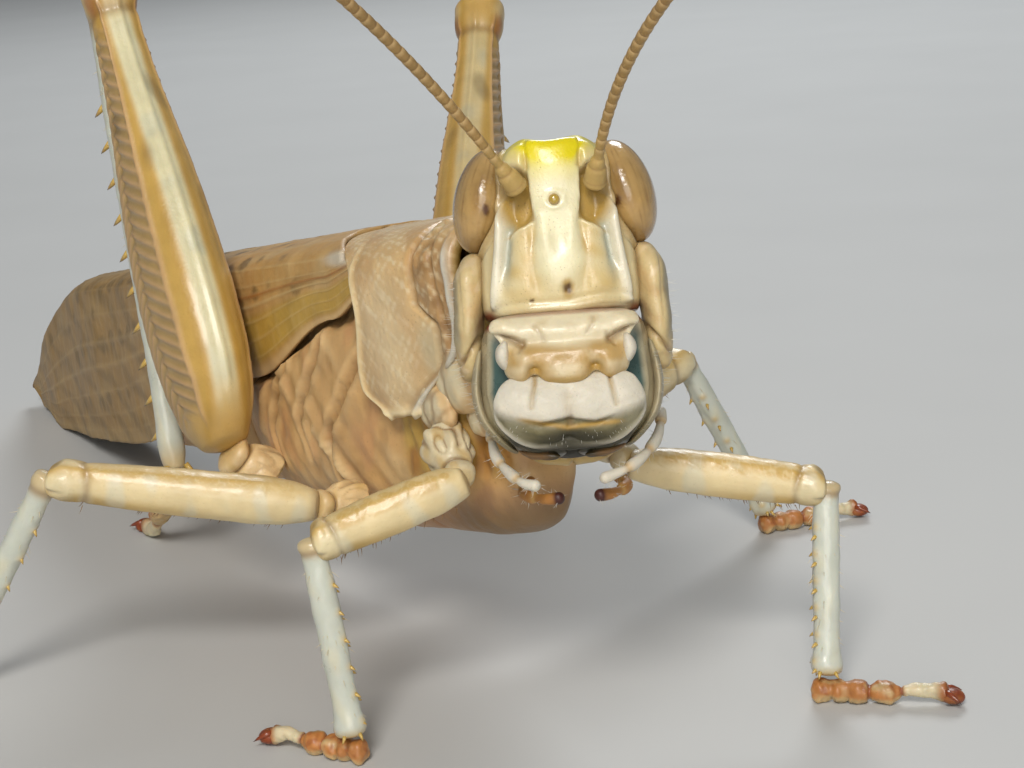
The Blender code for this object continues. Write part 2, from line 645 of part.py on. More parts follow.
def make_legs(stance):
    for name, places in LEGS.items():
        root, hip, knee, ankle, toe = (Vector(p) for p in places)
        hind = name.startswith("hind")
        below_hip = hip - (knee - hip).normalized() * (0.95 if hind else 0.6)
        make_coxa(name, root, below_hip, 1.25 if hind else 0.92, stance)
        femur_top = Vector((0, 0, 1))
        shin_start, shin_top = knee, (knee - hip).normalized()
        if hind:
            # the femur's upper edge is the side away from the folded shin
            axis = (knee - hip).normalized()
            femur_top = axis * (ankle - knee).dot(axis) - (ankle - knee)
            femur_top.normalize()
            shin_start = knee - femur_top * SHIN_DROP
            shin_top = -femur_top
        profile = HIND_FEMUR if hind else FORE_FEMUR if name.startswith("fore") else MID_FEMUR
        make_femur(name, hip, knee, profile, femur_top, stance, hind)
        make_tibia(name, shin_start, ankle, shin_top, stance, hind)
        make_tarsus(name, ankle, toe, stance, hind)


# ---------------------------------------------------------------- assembly

def settle(stance):
    """Shift the whole model so that the middle of its underside is the origin."""
    bpy.context.view_layer.update()
    low = Vector((1e9, 1e9, 1e9))
    high = -low
    for piece in bpy.data.objects:
        if piece.type != "MESH" or piece.hide_render:
            continue
        for vert in piece.data.vertices:
            place = piece.matrix_world @ vert.co
            low = Vector(map(min, low, place))
            high = Vector(map(max, high, place))
    stance.location = Vector((-0.5 * (low.x + high.x), -0.5 * (low.y + high.y), -low.z))


def main():
    clear_scene()
    stance = empty_frame("stance", Matrix.Identity(4))
    pitch = Matrix.Rotation(math.radians(-BODY_PITCH), 4, "X")
    body = empty_frame("trunk_frame", Matrix.Translation((0, 0, BACK_HEIGHT * MM)) @ pitch, stance)
    turn = Matrix.Rotation(math.radians(-HEAD_TURN), 4, "Z")
    tilt = Matrix.Rotation(math.radians(-HEAD_TILT), 4, "X")
    head = empty_frame("head_frame", Matrix.Translation(Vector(HEAD_CENTRE) * MM) @ turn @ tilt, stance)
    make_wing_rooms(body)
    make_pronotum(body)
    make_trunk(body)
    make_abdomen(body)
    make_wings(body)
    make_hind_wings(body)
    make_head(head, body)
    make_face(head)
    make_feelers(head)
    make_legs(stance)
    settle(stance)


main()
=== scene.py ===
"""The finish of a life-size desert locust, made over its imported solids.

Sizes are in millimetres and turned into metres by MM. The trunk and the head each have a frame
of their own, as the solids do: x to the locust's left, y backwards and z up.
"""

import math

import bpy
import numpy as np
from mathutils import Matrix, Vector


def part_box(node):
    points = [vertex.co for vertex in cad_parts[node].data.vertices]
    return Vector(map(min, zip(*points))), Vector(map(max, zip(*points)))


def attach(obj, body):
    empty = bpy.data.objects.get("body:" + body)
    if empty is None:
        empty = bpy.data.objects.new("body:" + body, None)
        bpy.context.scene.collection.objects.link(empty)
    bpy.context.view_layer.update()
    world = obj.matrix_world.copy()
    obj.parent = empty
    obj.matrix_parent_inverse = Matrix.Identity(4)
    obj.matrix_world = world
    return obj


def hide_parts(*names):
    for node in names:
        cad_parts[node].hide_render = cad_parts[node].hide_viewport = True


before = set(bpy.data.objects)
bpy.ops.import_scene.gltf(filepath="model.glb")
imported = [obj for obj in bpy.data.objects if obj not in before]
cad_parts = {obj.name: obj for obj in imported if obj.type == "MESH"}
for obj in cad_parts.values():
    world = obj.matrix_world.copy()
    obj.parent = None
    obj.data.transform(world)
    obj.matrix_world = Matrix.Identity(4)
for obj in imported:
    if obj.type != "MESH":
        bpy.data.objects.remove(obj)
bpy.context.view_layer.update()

rng = np.random.default_rng(11)
MM = 0.001
SIDES = ((1, "left"), (-1, "right"))

# ---------------------------------------------------------------- the stance, as in the solids

BODY_PITCH = 12.0
BACK_HEIGHT = 18.1
HEAD_TURN = 31.0
HEAD_TILT = 16.8
HEAD_CENTRE = Vector((-0.1, -13.47, 17.48))
EYE_CENTRE = Vector((2.58, -1.35, 3.35))
EYE_RADII = Vector((1.05, 1.7, 1.95))
EYE_LEAN = 15.0
EYE_SPOT_X = {"left": 2.5, "right": 2.72}

trunk_level = Matrix.Translation((0, 0, BACK_HEIGHT * MM))
trunk_level = trunk_level @ Matrix.Rotation(math.radians(-BODY_PITCH), 4, "X")
head_level = Matrix.Translation(HEAD_CENTRE * MM) @ Matrix.Rotation(math.radians(-HEAD_TURN), 4, "Z")
head_level = head_level @ Matrix.Rotation(math.radians(-HEAD_TILT), 4, "X")
eye_low, eye_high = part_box("eye_left")
stance = Matrix.Translation((eye_low + eye_high) * 0.5 - head_level @ (EYE_CENTRE * MM))
TRUNK = stance @ trunk_level
HEAD = stance @ head_level


# ---------------------------------------------------------------- colours

def tint(red, green, blue):
    """A display colour, 0 to 255, as a linear one."""
    shown = np.array((red, green, blue)) / 255.0
    return np.where(shown <= 0.04045, shown / 12.92, ((shown + 0.055) / 1.055) ** 2.4)


IVORY = tint(214, 199, 156)
FACE_OCHRE = tint(199, 166, 92)
CROWN_YELLOW = tint(216, 200, 8)
CARINA_WHITE = tint(214, 206, 182)
COSTA_WHITE = tint(224, 216, 178)
BLUE_BLOOM = tint(160, 168, 156)
HOLLOW_TAN = tint(172, 140, 70)
UNDER_EYE_TAN = tint(172, 144, 94)
CHEEK_CREAM = tint(200, 178, 130)
CHEEK_GREY = tint(140, 134, 112)
CHEEK_TAN = tint(190, 152, 102)
CHEEK_PALE = tint(222, 202, 172)
# the brown below marks seams and dark lines, and also paints shade into the clypeus's folds and creases
SEAM_AND_SHADE_BROWN = tint(120, 84, 40)
SEAM_RED = tint(120, 40, 18)
PIT_BROWN = tint(86, 56, 14)
CLYPEUS_CREAM = tint(220, 208, 176)
CLYPEUS_TAN = tint(180, 146, 86)
LIP_WHITE = tint(204, 197, 180)
LIP_GREY = tint(160, 154, 126)
LIP_OLIVE = tint(104, 96, 60)
LIP_OCHRE = tint(172, 134, 50)
LIP_DARK = tint(46, 42, 22)
JAW_TEAL = tint(54, 84, 82)
JAW_CREAM = tint(166, 154, 124)
EYE_TAN = tint(178, 144, 88)
EYE_STRIPE = tint(118, 84, 42)
EYE_SPOT = tint(62, 24, 16)
OCELLUS_AMBER = tint(170, 142, 52)
FEELER_BASE = tint(184, 154, 92)
FEELER_TAN = tint(160, 128, 76)
SADDLE_SAND = tint(206, 172, 120)
SADDLE_BROWN = tint(158, 120, 74)
SADDLE_RIM = tint(226, 206, 162)
SADDLE_FLECK = tint(228, 208, 168)
SADDLE_OCHRE = tint(186, 142, 88)
SADDLE_GREY = tint(196, 184, 150)
SADDLE_PALE = tint(222, 204, 166)
SKIN_YELLOW = tint(178, 146, 60)
FLANK_SAND = tint(196, 156, 102)
# the brown below marks seams and rings, and also paints shade into wrinkles and creases
FLANK_SEAM_AND_SHADE = tint(124, 84, 42)
FLANK_PALE = tint(220, 190, 140)
FLANK_RUST = tint(190, 136, 92)
BELLY_PINK = tint(168, 124, 94)
BELLY_OLIVE = tint(112, 92, 58)
SEAM_ORANGE = tint(156, 92, 40)
WING_SAND = tint(180, 140, 82)
WING_BAND = tint(176, 142, 58)
# the brown below paints the wing's spots and streaks, and also shade on its inner face
WING_SPOT_AND_SHADE = tint(88, 68, 34)
WING_VEIN = tint(196, 168, 118)
WING_OLIVE = tint(122, 96, 46)
WING_VEIN_BROWN = tint(150, 92, 30)
HIND_WING_CREAM = tint(196, 180, 138)
HIND_WING_TAN = tint(170, 148, 100)
HIP_CREAM = tint(206, 192, 158)
LEG_CREAM = tint(212, 202, 168)
THIGH_CREAM = tint(216, 196, 150)
LEG_OCHRE = tint(190, 154, 78)
# a painted sheen: pale blue-white, standing for the thighs' gloss
LEG_PAINTED_SHEEN = tint(196, 202, 190)
HIND_TAN = tint(188, 152, 84)
HIND_STRIPE = tint(210, 204, 166)
HIND_OUTER = tint(156, 130, 82)
HIND_RIDGE = tint(190, 156, 116)
SHIN_WHITE = tint(194, 197, 184)
SPINE_YELLOW = tint(196, 162, 84)
SPINE_BLACK = tint(30, 20, 12)
FOOT_ORANGE = tint(176, 116, 60)
FOOT_RED = tint(128, 56, 20)
FOOT_PALE = tint(196, 172, 124)
PALP_BROWN = tint(172, 118, 56)
PAD_BROWN = tint(116, 86, 50)
HAIR_PALE = tint(214, 198, 160)
BRISTLE_WHITE = tint(214, 210, 196)


# ---------------------------------------------------------------- modelling by hand

AXES = {
    "x": (Vector((1, 0, 0)), Vector((0, 1, 0)), Vector((0, 0, 1))),
    "y": (Vector((0, 1, 0)), Vector((1, 0, 0)), Vector((0, 0, 1))),
    "z": (Vector((0, 0, -1)), Vector((1, 0, 0)), Vector((0, -1, 0))),
}


def let_go():
    """Back to object mode with nothing selected."""
    if bpy.context.object and bpy.context.object.mode != "OBJECT":
        bpy.ops.object.mode_set(mode="OBJECT")
    bpy.ops.object.select_all(action="DESELECT")


def take_up(piece):
    """Selects one piece alone."""
    let_go()
    piece.select_set(True)
    bpy.context.view_layer.objects.active = piece


def new_piece(name):
    """Names the primitive that was just added."""
    piece = bpy.context.object
    piece.name = name
    piece.data.name = name
    return piece


def round_ball(name, segments, rings):
    """A ball with a radius of 1, to be stretched and shaped."""
    let_go()
    bpy.ops.mesh.primitive_uv_sphere_add(segments=segments, ring_count=rings, radius=MM)
    return new_piece(name)


def apply_subdivision(piece, levels):
    take_up(piece)
    smooth = piece.modifiers.new("smooth", "SUBSURF")
    smooth.levels = levels
    smooth.render_levels = levels
    bpy.ops.object.modifier_apply(modifier="smooth")


def curve_through(table, places):
    """A smooth curve through a few (place, value...) rows, read at many places."""
    table = np.array(table, float)
    xs, ys = table[:, 0], table[:, 1:]
    slope = np.gradient(ys, xs, axis=0)
    inside = np.clip(places, xs[0], xs[-1])
    i = np.clip(np.searchsorted(xs, inside, side="right") - 1, 0, len(xs) - 2)
    span = (xs[i + 1] - xs[i])[:, None]
    t = (inside - xs[i])[:, None] / span
    value = (2 * t**3 - 3 * t**2 + 1) * ys[i] + (t**3 - 2 * t**2 + t) * span * slope[i]
    value += (-2 * t**3 + 3 * t**2) * ys[i + 1] + (t**3 - t**2) * span * slope[i + 1]
    return value


def rows_along(stations, count, start_round, end_round):
    """Many rows through a few stations, with the ends rounded off over a length."""
    first = stations[0][0]
    length = stations[-1][0] - first
    bends = 1.0 - np.cos(np.radians((12, 30, 48, 66, 80)))
    start, end = start_round * bends, length - end_round * bends[::-1]
    middle = np.linspace(start[-1], end[0], count)[1:-1]
    distance = np.concatenate((start, middle, end))
    values = curve_through(stations, first + distance)
    for away, room in ((distance, start_round), (length - distance, end_round)):
        near = np.clip(away / room, 0.0, 1.0)
        values[:, 2:] *= np.sqrt(1.0 - (1.0 - near) ** 2)[:, None]
    return [(first + d, *row) for d, row in zip(distance, values)]


def rod_rows(stations):
    """Rows for a straight rod: (place along, half width), or with a half height third."""
    return [(row[0], 0.0, 0.0, row[1], row[-1]) for row in stations]


def grown_shell(name, axis, rows, sides, square=2.0, levels=1):
    """A closed shell drawn out ring by ring along its own axis.

    A row is (place along, middle across, middle up, half width, half height).
    """
    ahead, side, up = AXES[axis]
    let_go()
    bpy.ops.mesh.primitive_circle_add(vertices=sides, radius=MM, fill_type="NGON")
    piece = new_piece(name)
    flat = Matrix((side, up, ahead)).transposed()
    for vert in piece.data.vertices:
        angle = math.atan2(vert.co.y, vert.co.x)
        across = math.copysign(abs(math.cos(angle)) ** (2.0 / square), math.cos(angle))
        rise = math.copysign(abs(math.sin(angle)) ** (2.0 / square), math.sin(angle))
        vert.co = flat @ Vector((across * MM, rise * MM, 0.0))

    def spot(row):
        return (ahead * row[0] + side * row[1] + up * row[2]) * MM

    def stretch(wide, tall):
        return [abs(ahead[k]) + abs(side[k]) * wide + abs(up[k]) * tall for k in range(3)]

    bpy.ops.object.mode_set(mode="EDIT")
    bpy.ops.mesh.select_all(action="SELECT")
    bpy.ops.transform.resize(value=stretch(rows[0][3], rows[0][4]), center_override=(0, 0, 0))
    bpy.ops.transform.translate(value=spot(rows[0]))
    for last, this in zip(rows, rows[1:]):
        bpy.ops.mesh.extrude_region_move(TRANSFORM_OT_translate={"value": spot(this) - spot(last)})
        growth = stretch(this[3] / last[3], this[4] / last[4])
        bpy.ops.transform.resize(value=growth, center_override=spot(this))
    bpy.ops.mesh.select_all(action="SELECT")
    bpy.ops.mesh.normals_make_consistent(inside=False)
    let_go()
    apply_subdivision(piece, levels)
    return piece


def woven_plate(name, columns, rows, wall, shape):
    """A thin closed plate: a grid whose points shape(u, v) places, given a wall under it."""
    let_go()
    bpy.ops.mesh.primitive_grid_add(x_subdivisions=columns, y_subdivisions=rows, size=1.0)
    piece = new_piece(name)
    flat = points_of(piece) * MM + 0.5
    chart = piece.data.uv_layers.active or piece.data.uv_layers.new(name="chart")
    chart.name = "chart"
    corners = np.empty(len(piece.data.loops), np.int32)
    piece.data.loops.foreach_get("vertex_index", corners)
    chart.data.foreach_set("uv", flat[corners][:, :2].astype(np.float32).ravel())
    move_points(piece, shape(flat[:, 0], flat[:, 1]))
    take_up(piece)
    bpy.ops.object.mode_set(mode="EDIT")
    bpy.ops.mesh.select_all(action="SELECT")
    bpy.ops.mesh.normals_make_consistent(inside=False)
    let_go()
    middle = points_of(piece).mean(axis=0)
    outward = (normals_of(piece) * (points_of(piece) - middle)).sum()
    if outward < 0.0:
        piece.data.flip_normals()
    take_up(piece)
    solid = piece.modifiers.new("wall", "SOLIDIFY")
    solid.thickness = wall * MM
    solid.offset = -1.0
    bpy.ops.object.modifier_apply(modifier="wall")
    return piece


# ---------------------------------------------------------------- sculpting and painting strokes
#
# Below, p holds a piece's points in millimetres and n the way its skin faces. A stroke is a share from
# 0 to 1 on every point: rise adds strokes up and moves the points along n, and lay paints with them.
# x, y and z are columns of p and move with it; what is worked out from them stays as it was.

def points_of(piece):
    """The mesh's points in millimetres, one row each."""
    flat = np.empty(len(piece.data.vertices) * 3, np.float32)
    piece.data.vertices.foreach_get("co", flat)
    return flat.reshape(-1, 3).astype(float) / MM


def normals_of(piece):
    flat = np.empty(len(piece.data.vertices) * 3, np.float32)
    piece.data.vertices.foreach_get("normal", flat)
    return flat.reshape(-1, 3).astype(float)


def move_points(piece, points):
    """Puts the mesh's points at new places, in millimetres."""
    piece.data.vertices.foreach_set("co", (points * MM).astype(np.float32).ravel())
    piece.data.update()


def soft(value, low, high):
    """An eased step, 0 below low and 1 above high."""
    t = np.clip((value - low) / (high - low), 0.0, 1.0)
    return t * t * (3.0 - 2.0 * t)


def fade(value, low, high):
    """An eased step down, 1 below low and 0 above high."""
    return 1.0 - soft(value, low, high)


def within(value, low, full, ebb, high):
    """1 from full to ebb, eased to 0 at low and at high."""
    return soft(value, low, full) * fade(value, ebb, high)


def hump(distance, width):
    """A bell, 1 on the line and 0 well away from it."""
    return np.exp(-(distance / width) ** 2)


def blot(x, y, centre, size, edge=0.5):
    """A soft-edged oval, 1 inside and 0 outside."""
    reach = np.sqrt(((x - centre[0]) / size[0]) ** 2 + ((y - centre[1]) / size[1]) ** 2)
    return fade(reach, 1.0 - edge, 1.0 + edge)


def from_path(x, y, path):
    """The distance of each point to a chain of points."""
    nearest = np.full(len(x), 1e9)
    for (ax, ay), (bx, by) in zip(path, path[1:]):
        dx, dy = bx - ax, by - ay
        t = np.clip(((x - ax) * dx + (y - ay) * dy) / (dx * dx + dy * dy), 0.0, 1.0)
        nearest = np.minimum(nearest, np.hypot(x - ax - t * dx, y - ay - t * dy))
    return nearest


def ripple(points, scale, seed):
    """A smooth made-up waviness, from -1 to 1, from a few crossed sine waves."""
    draw = np.random.default_rng(seed)
    total = np.zeros(len(points))
    for _ in range(7):
        way = draw.normal(size=3)
        way *= (0.6 + draw.random()) / (np.linalg.norm(way) * scale)
        total += np.sin(points @ way * 2.0 * math.pi + draw.random() * 2.0 * math.pi)
    return total / 4.0


def cloud(points, scale, seed, low, high):
    """Soft-edged patches, from 0 to 1, where a ripple runs high."""
    return soft(ripple(points, scale, seed), low, high)


def coat_of(piece, colour):
    """The paint of a piece, one plain colour to begin with."""
    return np.tile(np.asarray(colour, float), (len(piece.data.vertices), 1))


def lay(coat, share, colour):
    """Lays a colour over the coat where share is 1, and less where it is less."""
    coat += (np.asarray(colour) - coat) * np.clip(share, 0.0, 1.0)[:, None]


def store_coat(piece, coat):
    """Keeps the paint on the mesh, where its finish reads it."""
    layer = piece.data.attributes.new("coat", "FLOAT_COLOR", "POINT")
    full = np.ones((len(coat), 4), np.float32)
    full[:, :3] = coat
    layer.data.foreach_set("color", full.ravel())


def lay_along(points, path, top=(0.0, 0.0, 1.0)):
    """Bends points drawn along +X onto a path; x = 0 is the path's start, and +Z leans to top."""
    path = np.array(path, float)
    steps = np.linalg.norm(np.diff(path, axis=0), axis=1)
    run = np.concatenate(([0.0], np.cumsum(steps)))
    x = points[:, 0]
    place = np.stack([np.interp(x, run, path[:, k]) for k in range(3)], axis=1)
    ahead = np.gradient(path, run, axis=0)
    ahead = np.stack([np.interp(x, run, ahead[:, k]) for k in range(3)], axis=1)
    ahead /= np.linalg.norm(ahead, axis=1)[:, None]
    place += ahead * (np.minimum(x, 0.0) + np.maximum(x - run[-1], 0.0))[:, None]
    side = np.cross(top, ahead)
    side /= np.linalg.norm(side, axis=1)[:, None]
    up = np.cross(ahead, side)
    return place + side * points[:, 1:2] + up * points[:, 2:3]


def bow(start, control, end, count=40):
    """A bowed path between two points, drawn towards the control point."""
    t = np.linspace(0.0, 1.0, count)[:, None]
    start, control, end = (np.array(p, float) for p in (start, control, end))
    return (1 - t) ** 2 * start + 2 * t * (1 - t) * control + t**2 * end


def path_length(path):
    return float(np.linalg.norm(np.diff(np.array(path), axis=0), axis=1).sum())


# ---------------------------------------------------------------- finishes

def fill_inputs(tree, node, inputs):
    """Sets a node's inputs, or links those whose value is another node's output."""
    for socket, value in inputs.items():
        if isinstance(value, bpy.types.NodeSocket):
            tree.links.new(value, node.inputs[socket])
        else:
            node.inputs[socket].default_value = value


def add_node(tree, kind, output, inputs, operation=None):
    """Adds a shader node with its inputs filled, and gives back one of its outputs."""
    node = tree.nodes.new("ShaderNode" + kind)
    if operation:
        node.operation = operation
    fill_inputs(tree, node, inputs)
    return node.outputs[output]


def shell_finish(name, rough, gloss, glow, grain, pits, mottle, fine, pore):
    """Waxy shell: the coat's colour, mottled, with a fine grained and pitted surface."""
    finish = bpy.data.materials.new(name)
    finish.use_nodes = True
    tree = finish.node_tree
    coat = tree.nodes.new("ShaderNodeAttribute")
    coat.attribute_name = "coat"
    place = tree.nodes.new("ShaderNodeTexCoord").outputs["Object"]
    broad = add_node(tree, "TexNoise", "Fac", {"Scale": fine * 0.14, "Detail": 4.0, "Vector": place})
    speck = add_node(tree, "TexNoise", "Fac", {"Scale": fine, "Detail": 3.0, "Vector": place})
    shade = add_node(tree, "MapRange", "Result", {
        "From Min": 0.3, "From Max": 0.7, "Value": broad,
        "To Min": 1.0 - mottle, "To Max": 1.0 + mottle * 0.6})
    # dark pores, larger where the broad mottling is light
    pores = add_node(tree, "TexVoronoi", "Distance", {"Scale": fine * 0.8, "Vector": place})
    size = add_node(tree, "Math", "Value", {0: broad, 1: 0.7, 2: -0.19}, "MULTIPLY_ADD")
    size = add_node(tree, "Math", "Value", {0: size, 1: 0.05}, "MAXIMUM")
    dots = add_node(tree, "MapRange", "Result", {
        "From Min": 0.02, "From Max": size, "To Min": 1.0 - pore, "To Max": 1.0, "Value": pores})
    shade = add_node(tree, "Math", "Value", {0: shade, 1: dots}, "MULTIPLY")
    colour = add_node(tree, "VectorMath", "Vector", {0: coat.outputs["Color"], "Scale": shade}, "SCALE")
    sheen = add_node(tree, "MapRange", "Result", {
        "To Min": rough - 0.08, "To Max": rough + 0.12, "Value": broad})
    height = add_node(tree, "Math", "Value", {0: speck, 1: grain}, "MULTIPLY")
    height = add_node(tree, "Math", "Value", {0: height, 1: dots})
    if pits:
        cells = add_node(tree, "TexVoronoi", "Distance", {"Scale": fine * 0.32, "Vector": place})
        dents = add_node(tree, "MapRange", "Result", {
            "From Min": 0.05, "From Max": 0.45, "To Min": 0.0, "To Max": pits, "Value": cells})
        height = add_node(tree, "Math", "Value", {0: height, 1: dents})
    relief = add_node(tree, "Bump", "Normal", {"Strength": 0.5, "Distance": 0.00006, "Height": height})
    fill_inputs(tree, tree.nodes["Principled BSDF"], {
        "Base Color": colour, "Roughness": sheen, "Normal": relief,
        "Coat Weight": gloss, "Coat Roughness": 0.18, "Subsurface Weight": glow,
        "Subsurface Radius": (1.0, 0.6, 0.3), "Subsurface Scale": 0.0005})
    return finish


# rough, gloss, glow, grain, pits, mottle, fine, pore
FACE_SHELL = shell_finish("face shell", 0.32, 0.45, 0.15, 0.5, 0.0, 0.08, 9000.0, 0.34)
CHEEK_SHELL = shell_finish("cheek shell", 0.44, 0.18, 0.18, 0.7, 0.2, 0.14, 8000.0, 0.2)
LIP_SHELL = shell_finish("lip shell", 0.56, 0.06, 0.2, 0.7, 0.3, 0.08, 9000.0, 0.24)
CLYPEUS_SHELL = shell_finish("clypeus shell", 0.4, 0.22, 0.18, 0.6, 0.2, 0.09, 9000.0, 0.2)
JAW_SHELL = shell_finish("jaw shell", 0.26, 0.45, 0.05, 0.4, 0.0, 0.16, 7000.0, 0.1)
EYE_GLOSS = shell_finish("eye gloss", 0.2, 0.55, 0.12, 0.1, 0.3, 0.1, 16000.0, 0.12)
OCELLUS_GLOSS = shell_finish("ocellus gloss", 0.14, 0.8, 0.1, 0.0, 0.0, 0.1, 6000.0, 0.0)
FEELER_SHELL = shell_finish("feeler shell", 0.5, 0.1, 0.1, 0.6, 0.0, 0.14, 9000.0, 0.15)
SADDLE_SHELL = shell_finish("saddle shell", 0.42, 0.25, 0.15, 0.7, 0.5, 0.1, 6400.0, 0.25)
SOFT_SKIN = shell_finish("soft skin", 0.5, 0.2, 0.2, 0.8, 0.0, 0.14, 5000.0, 0.1)
FLANK_SHELL = shell_finish("flank shell", 0.48, 0.14, 0.12, 0.8, 0.4, 0.12, 4600.0, 0.16)
WING_SHELL = shell_finish("fore wing", 0.5, 0.1, 0.05, 0.8, 0.2, 0.16, 4000.0, 0.12)
HIND_WING_FILM = shell_finish("hind wing", 0.4, 0.2, 0.1, 0.5, 0.0, 0.1, 4000.0, 0.0)
LEG_SHELL = shell_finish("leg shell", 0.38, 0.25, 0.15, 0.5, 0.0, 0.1, 6500.0, 0.12)
SHIN_SHELL = shell_finish("shin shell", 0.3, 0.45, 0.18, 0.4, 0.0, 0.08, 6500.0, 0.08)
FOOT_SHELL = shell_finish("foot shell", 0.46, 0.16, 0.2, 0.8, 0.6, 0.25, 6000.0, 0.2)
HAIR_HORN = shell_finish("hairs", 0.4, 0.2, 0.2, 0.2, 0.0, 0.05, 9000.0, 0.0)


def finish_piece(piece, finish, coat, place, replaced=()):
    """Paint, material and place for one finished piece, parented to an empty, and the solids it replaces
    hidden.
    """
    store_coat(piece, coat)
    piece.data.materials.clear()
    piece.data.materials.append(finish)
    take_up(piece)
    bpy.ops.object.shade_smooth()
    piece.data.transform(place)
    piece.data.update()
    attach(piece, "root")
    if replaced:
        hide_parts(*replaced)


# ---------------------------------------------------------------- head

CAPSULE = [
    # height, half width, front, rear
    (5.42, 0.95, -2.85, 0.6), (5.15, 1.6, -3.4, 1.2), (4.6, 2.15, -3.65, 1.7), (3.6, 2.55, -3.7, 2.1),
    (2.3, 2.8, -3.7, 2.2), (0.9, 2.9, -3.75, 2.0), (-0.4, 2.92, -3.8, 1.7), (-1.1, 2.8, -3.65, 1.4),
]
COSTA_HALF = [(-0.6, 0.42), (0.0, 0.62), (0.8, 0.9), (1.5, 0.8), (2.25, 0.74), (2.7, 0.86), (3.6, 0.93),
              (4.6, 0.9)]
COSTA_MIDDLE = 0.02
SIDE_KEEL = [(1.9, 3.35), (1.97, 2.4), (2.06, 1.5), (2.22, 0.5), (2.38, -0.62)]
LOWER_RIM = [(-2.75, -0.96), (-1.3, -0.84), (0.2, -0.86), (1.5, -0.66), (2.75, -0.76)]
CORNER = (2.68, -1.0)
OCELLUS = (-0.03, 2.98)
DARK_SPOT = (0.24, -0.18)
SMALL_SPOT = (-1.06, -0.52)


def down_rows(stations, count, start_round, end_round, side=1):
    """Rows for a shell drawn downwards: (height, half width, front, rear), or with a middle x second."""
    full = []
    for row in stations:
        z, x, half, front, rear = row if len(row) == 5 else (row[0], 0.0, *row[1:])
        full.append((-z, side * x, -0.5 * (front + rear), half, 0.5 * (rear - front)))
    return rows_along(full, count, start_round, end_round)


def eye_reach(points, side):
    """How far points are from an eye's centre, in eyeball radii."""
    offset = points - np.array((side * EYE_CENTRE.x, EYE_CENTRE.y, EYE_CENTRE.z))
    lean = np.array(Matrix.Rotation(math.radians(side * EYE_LEAN), 3, "Y"))
    return np.sqrt((((offset @ lean.T) / np.array(EYE_RADII)) ** 2).sum(axis=1))


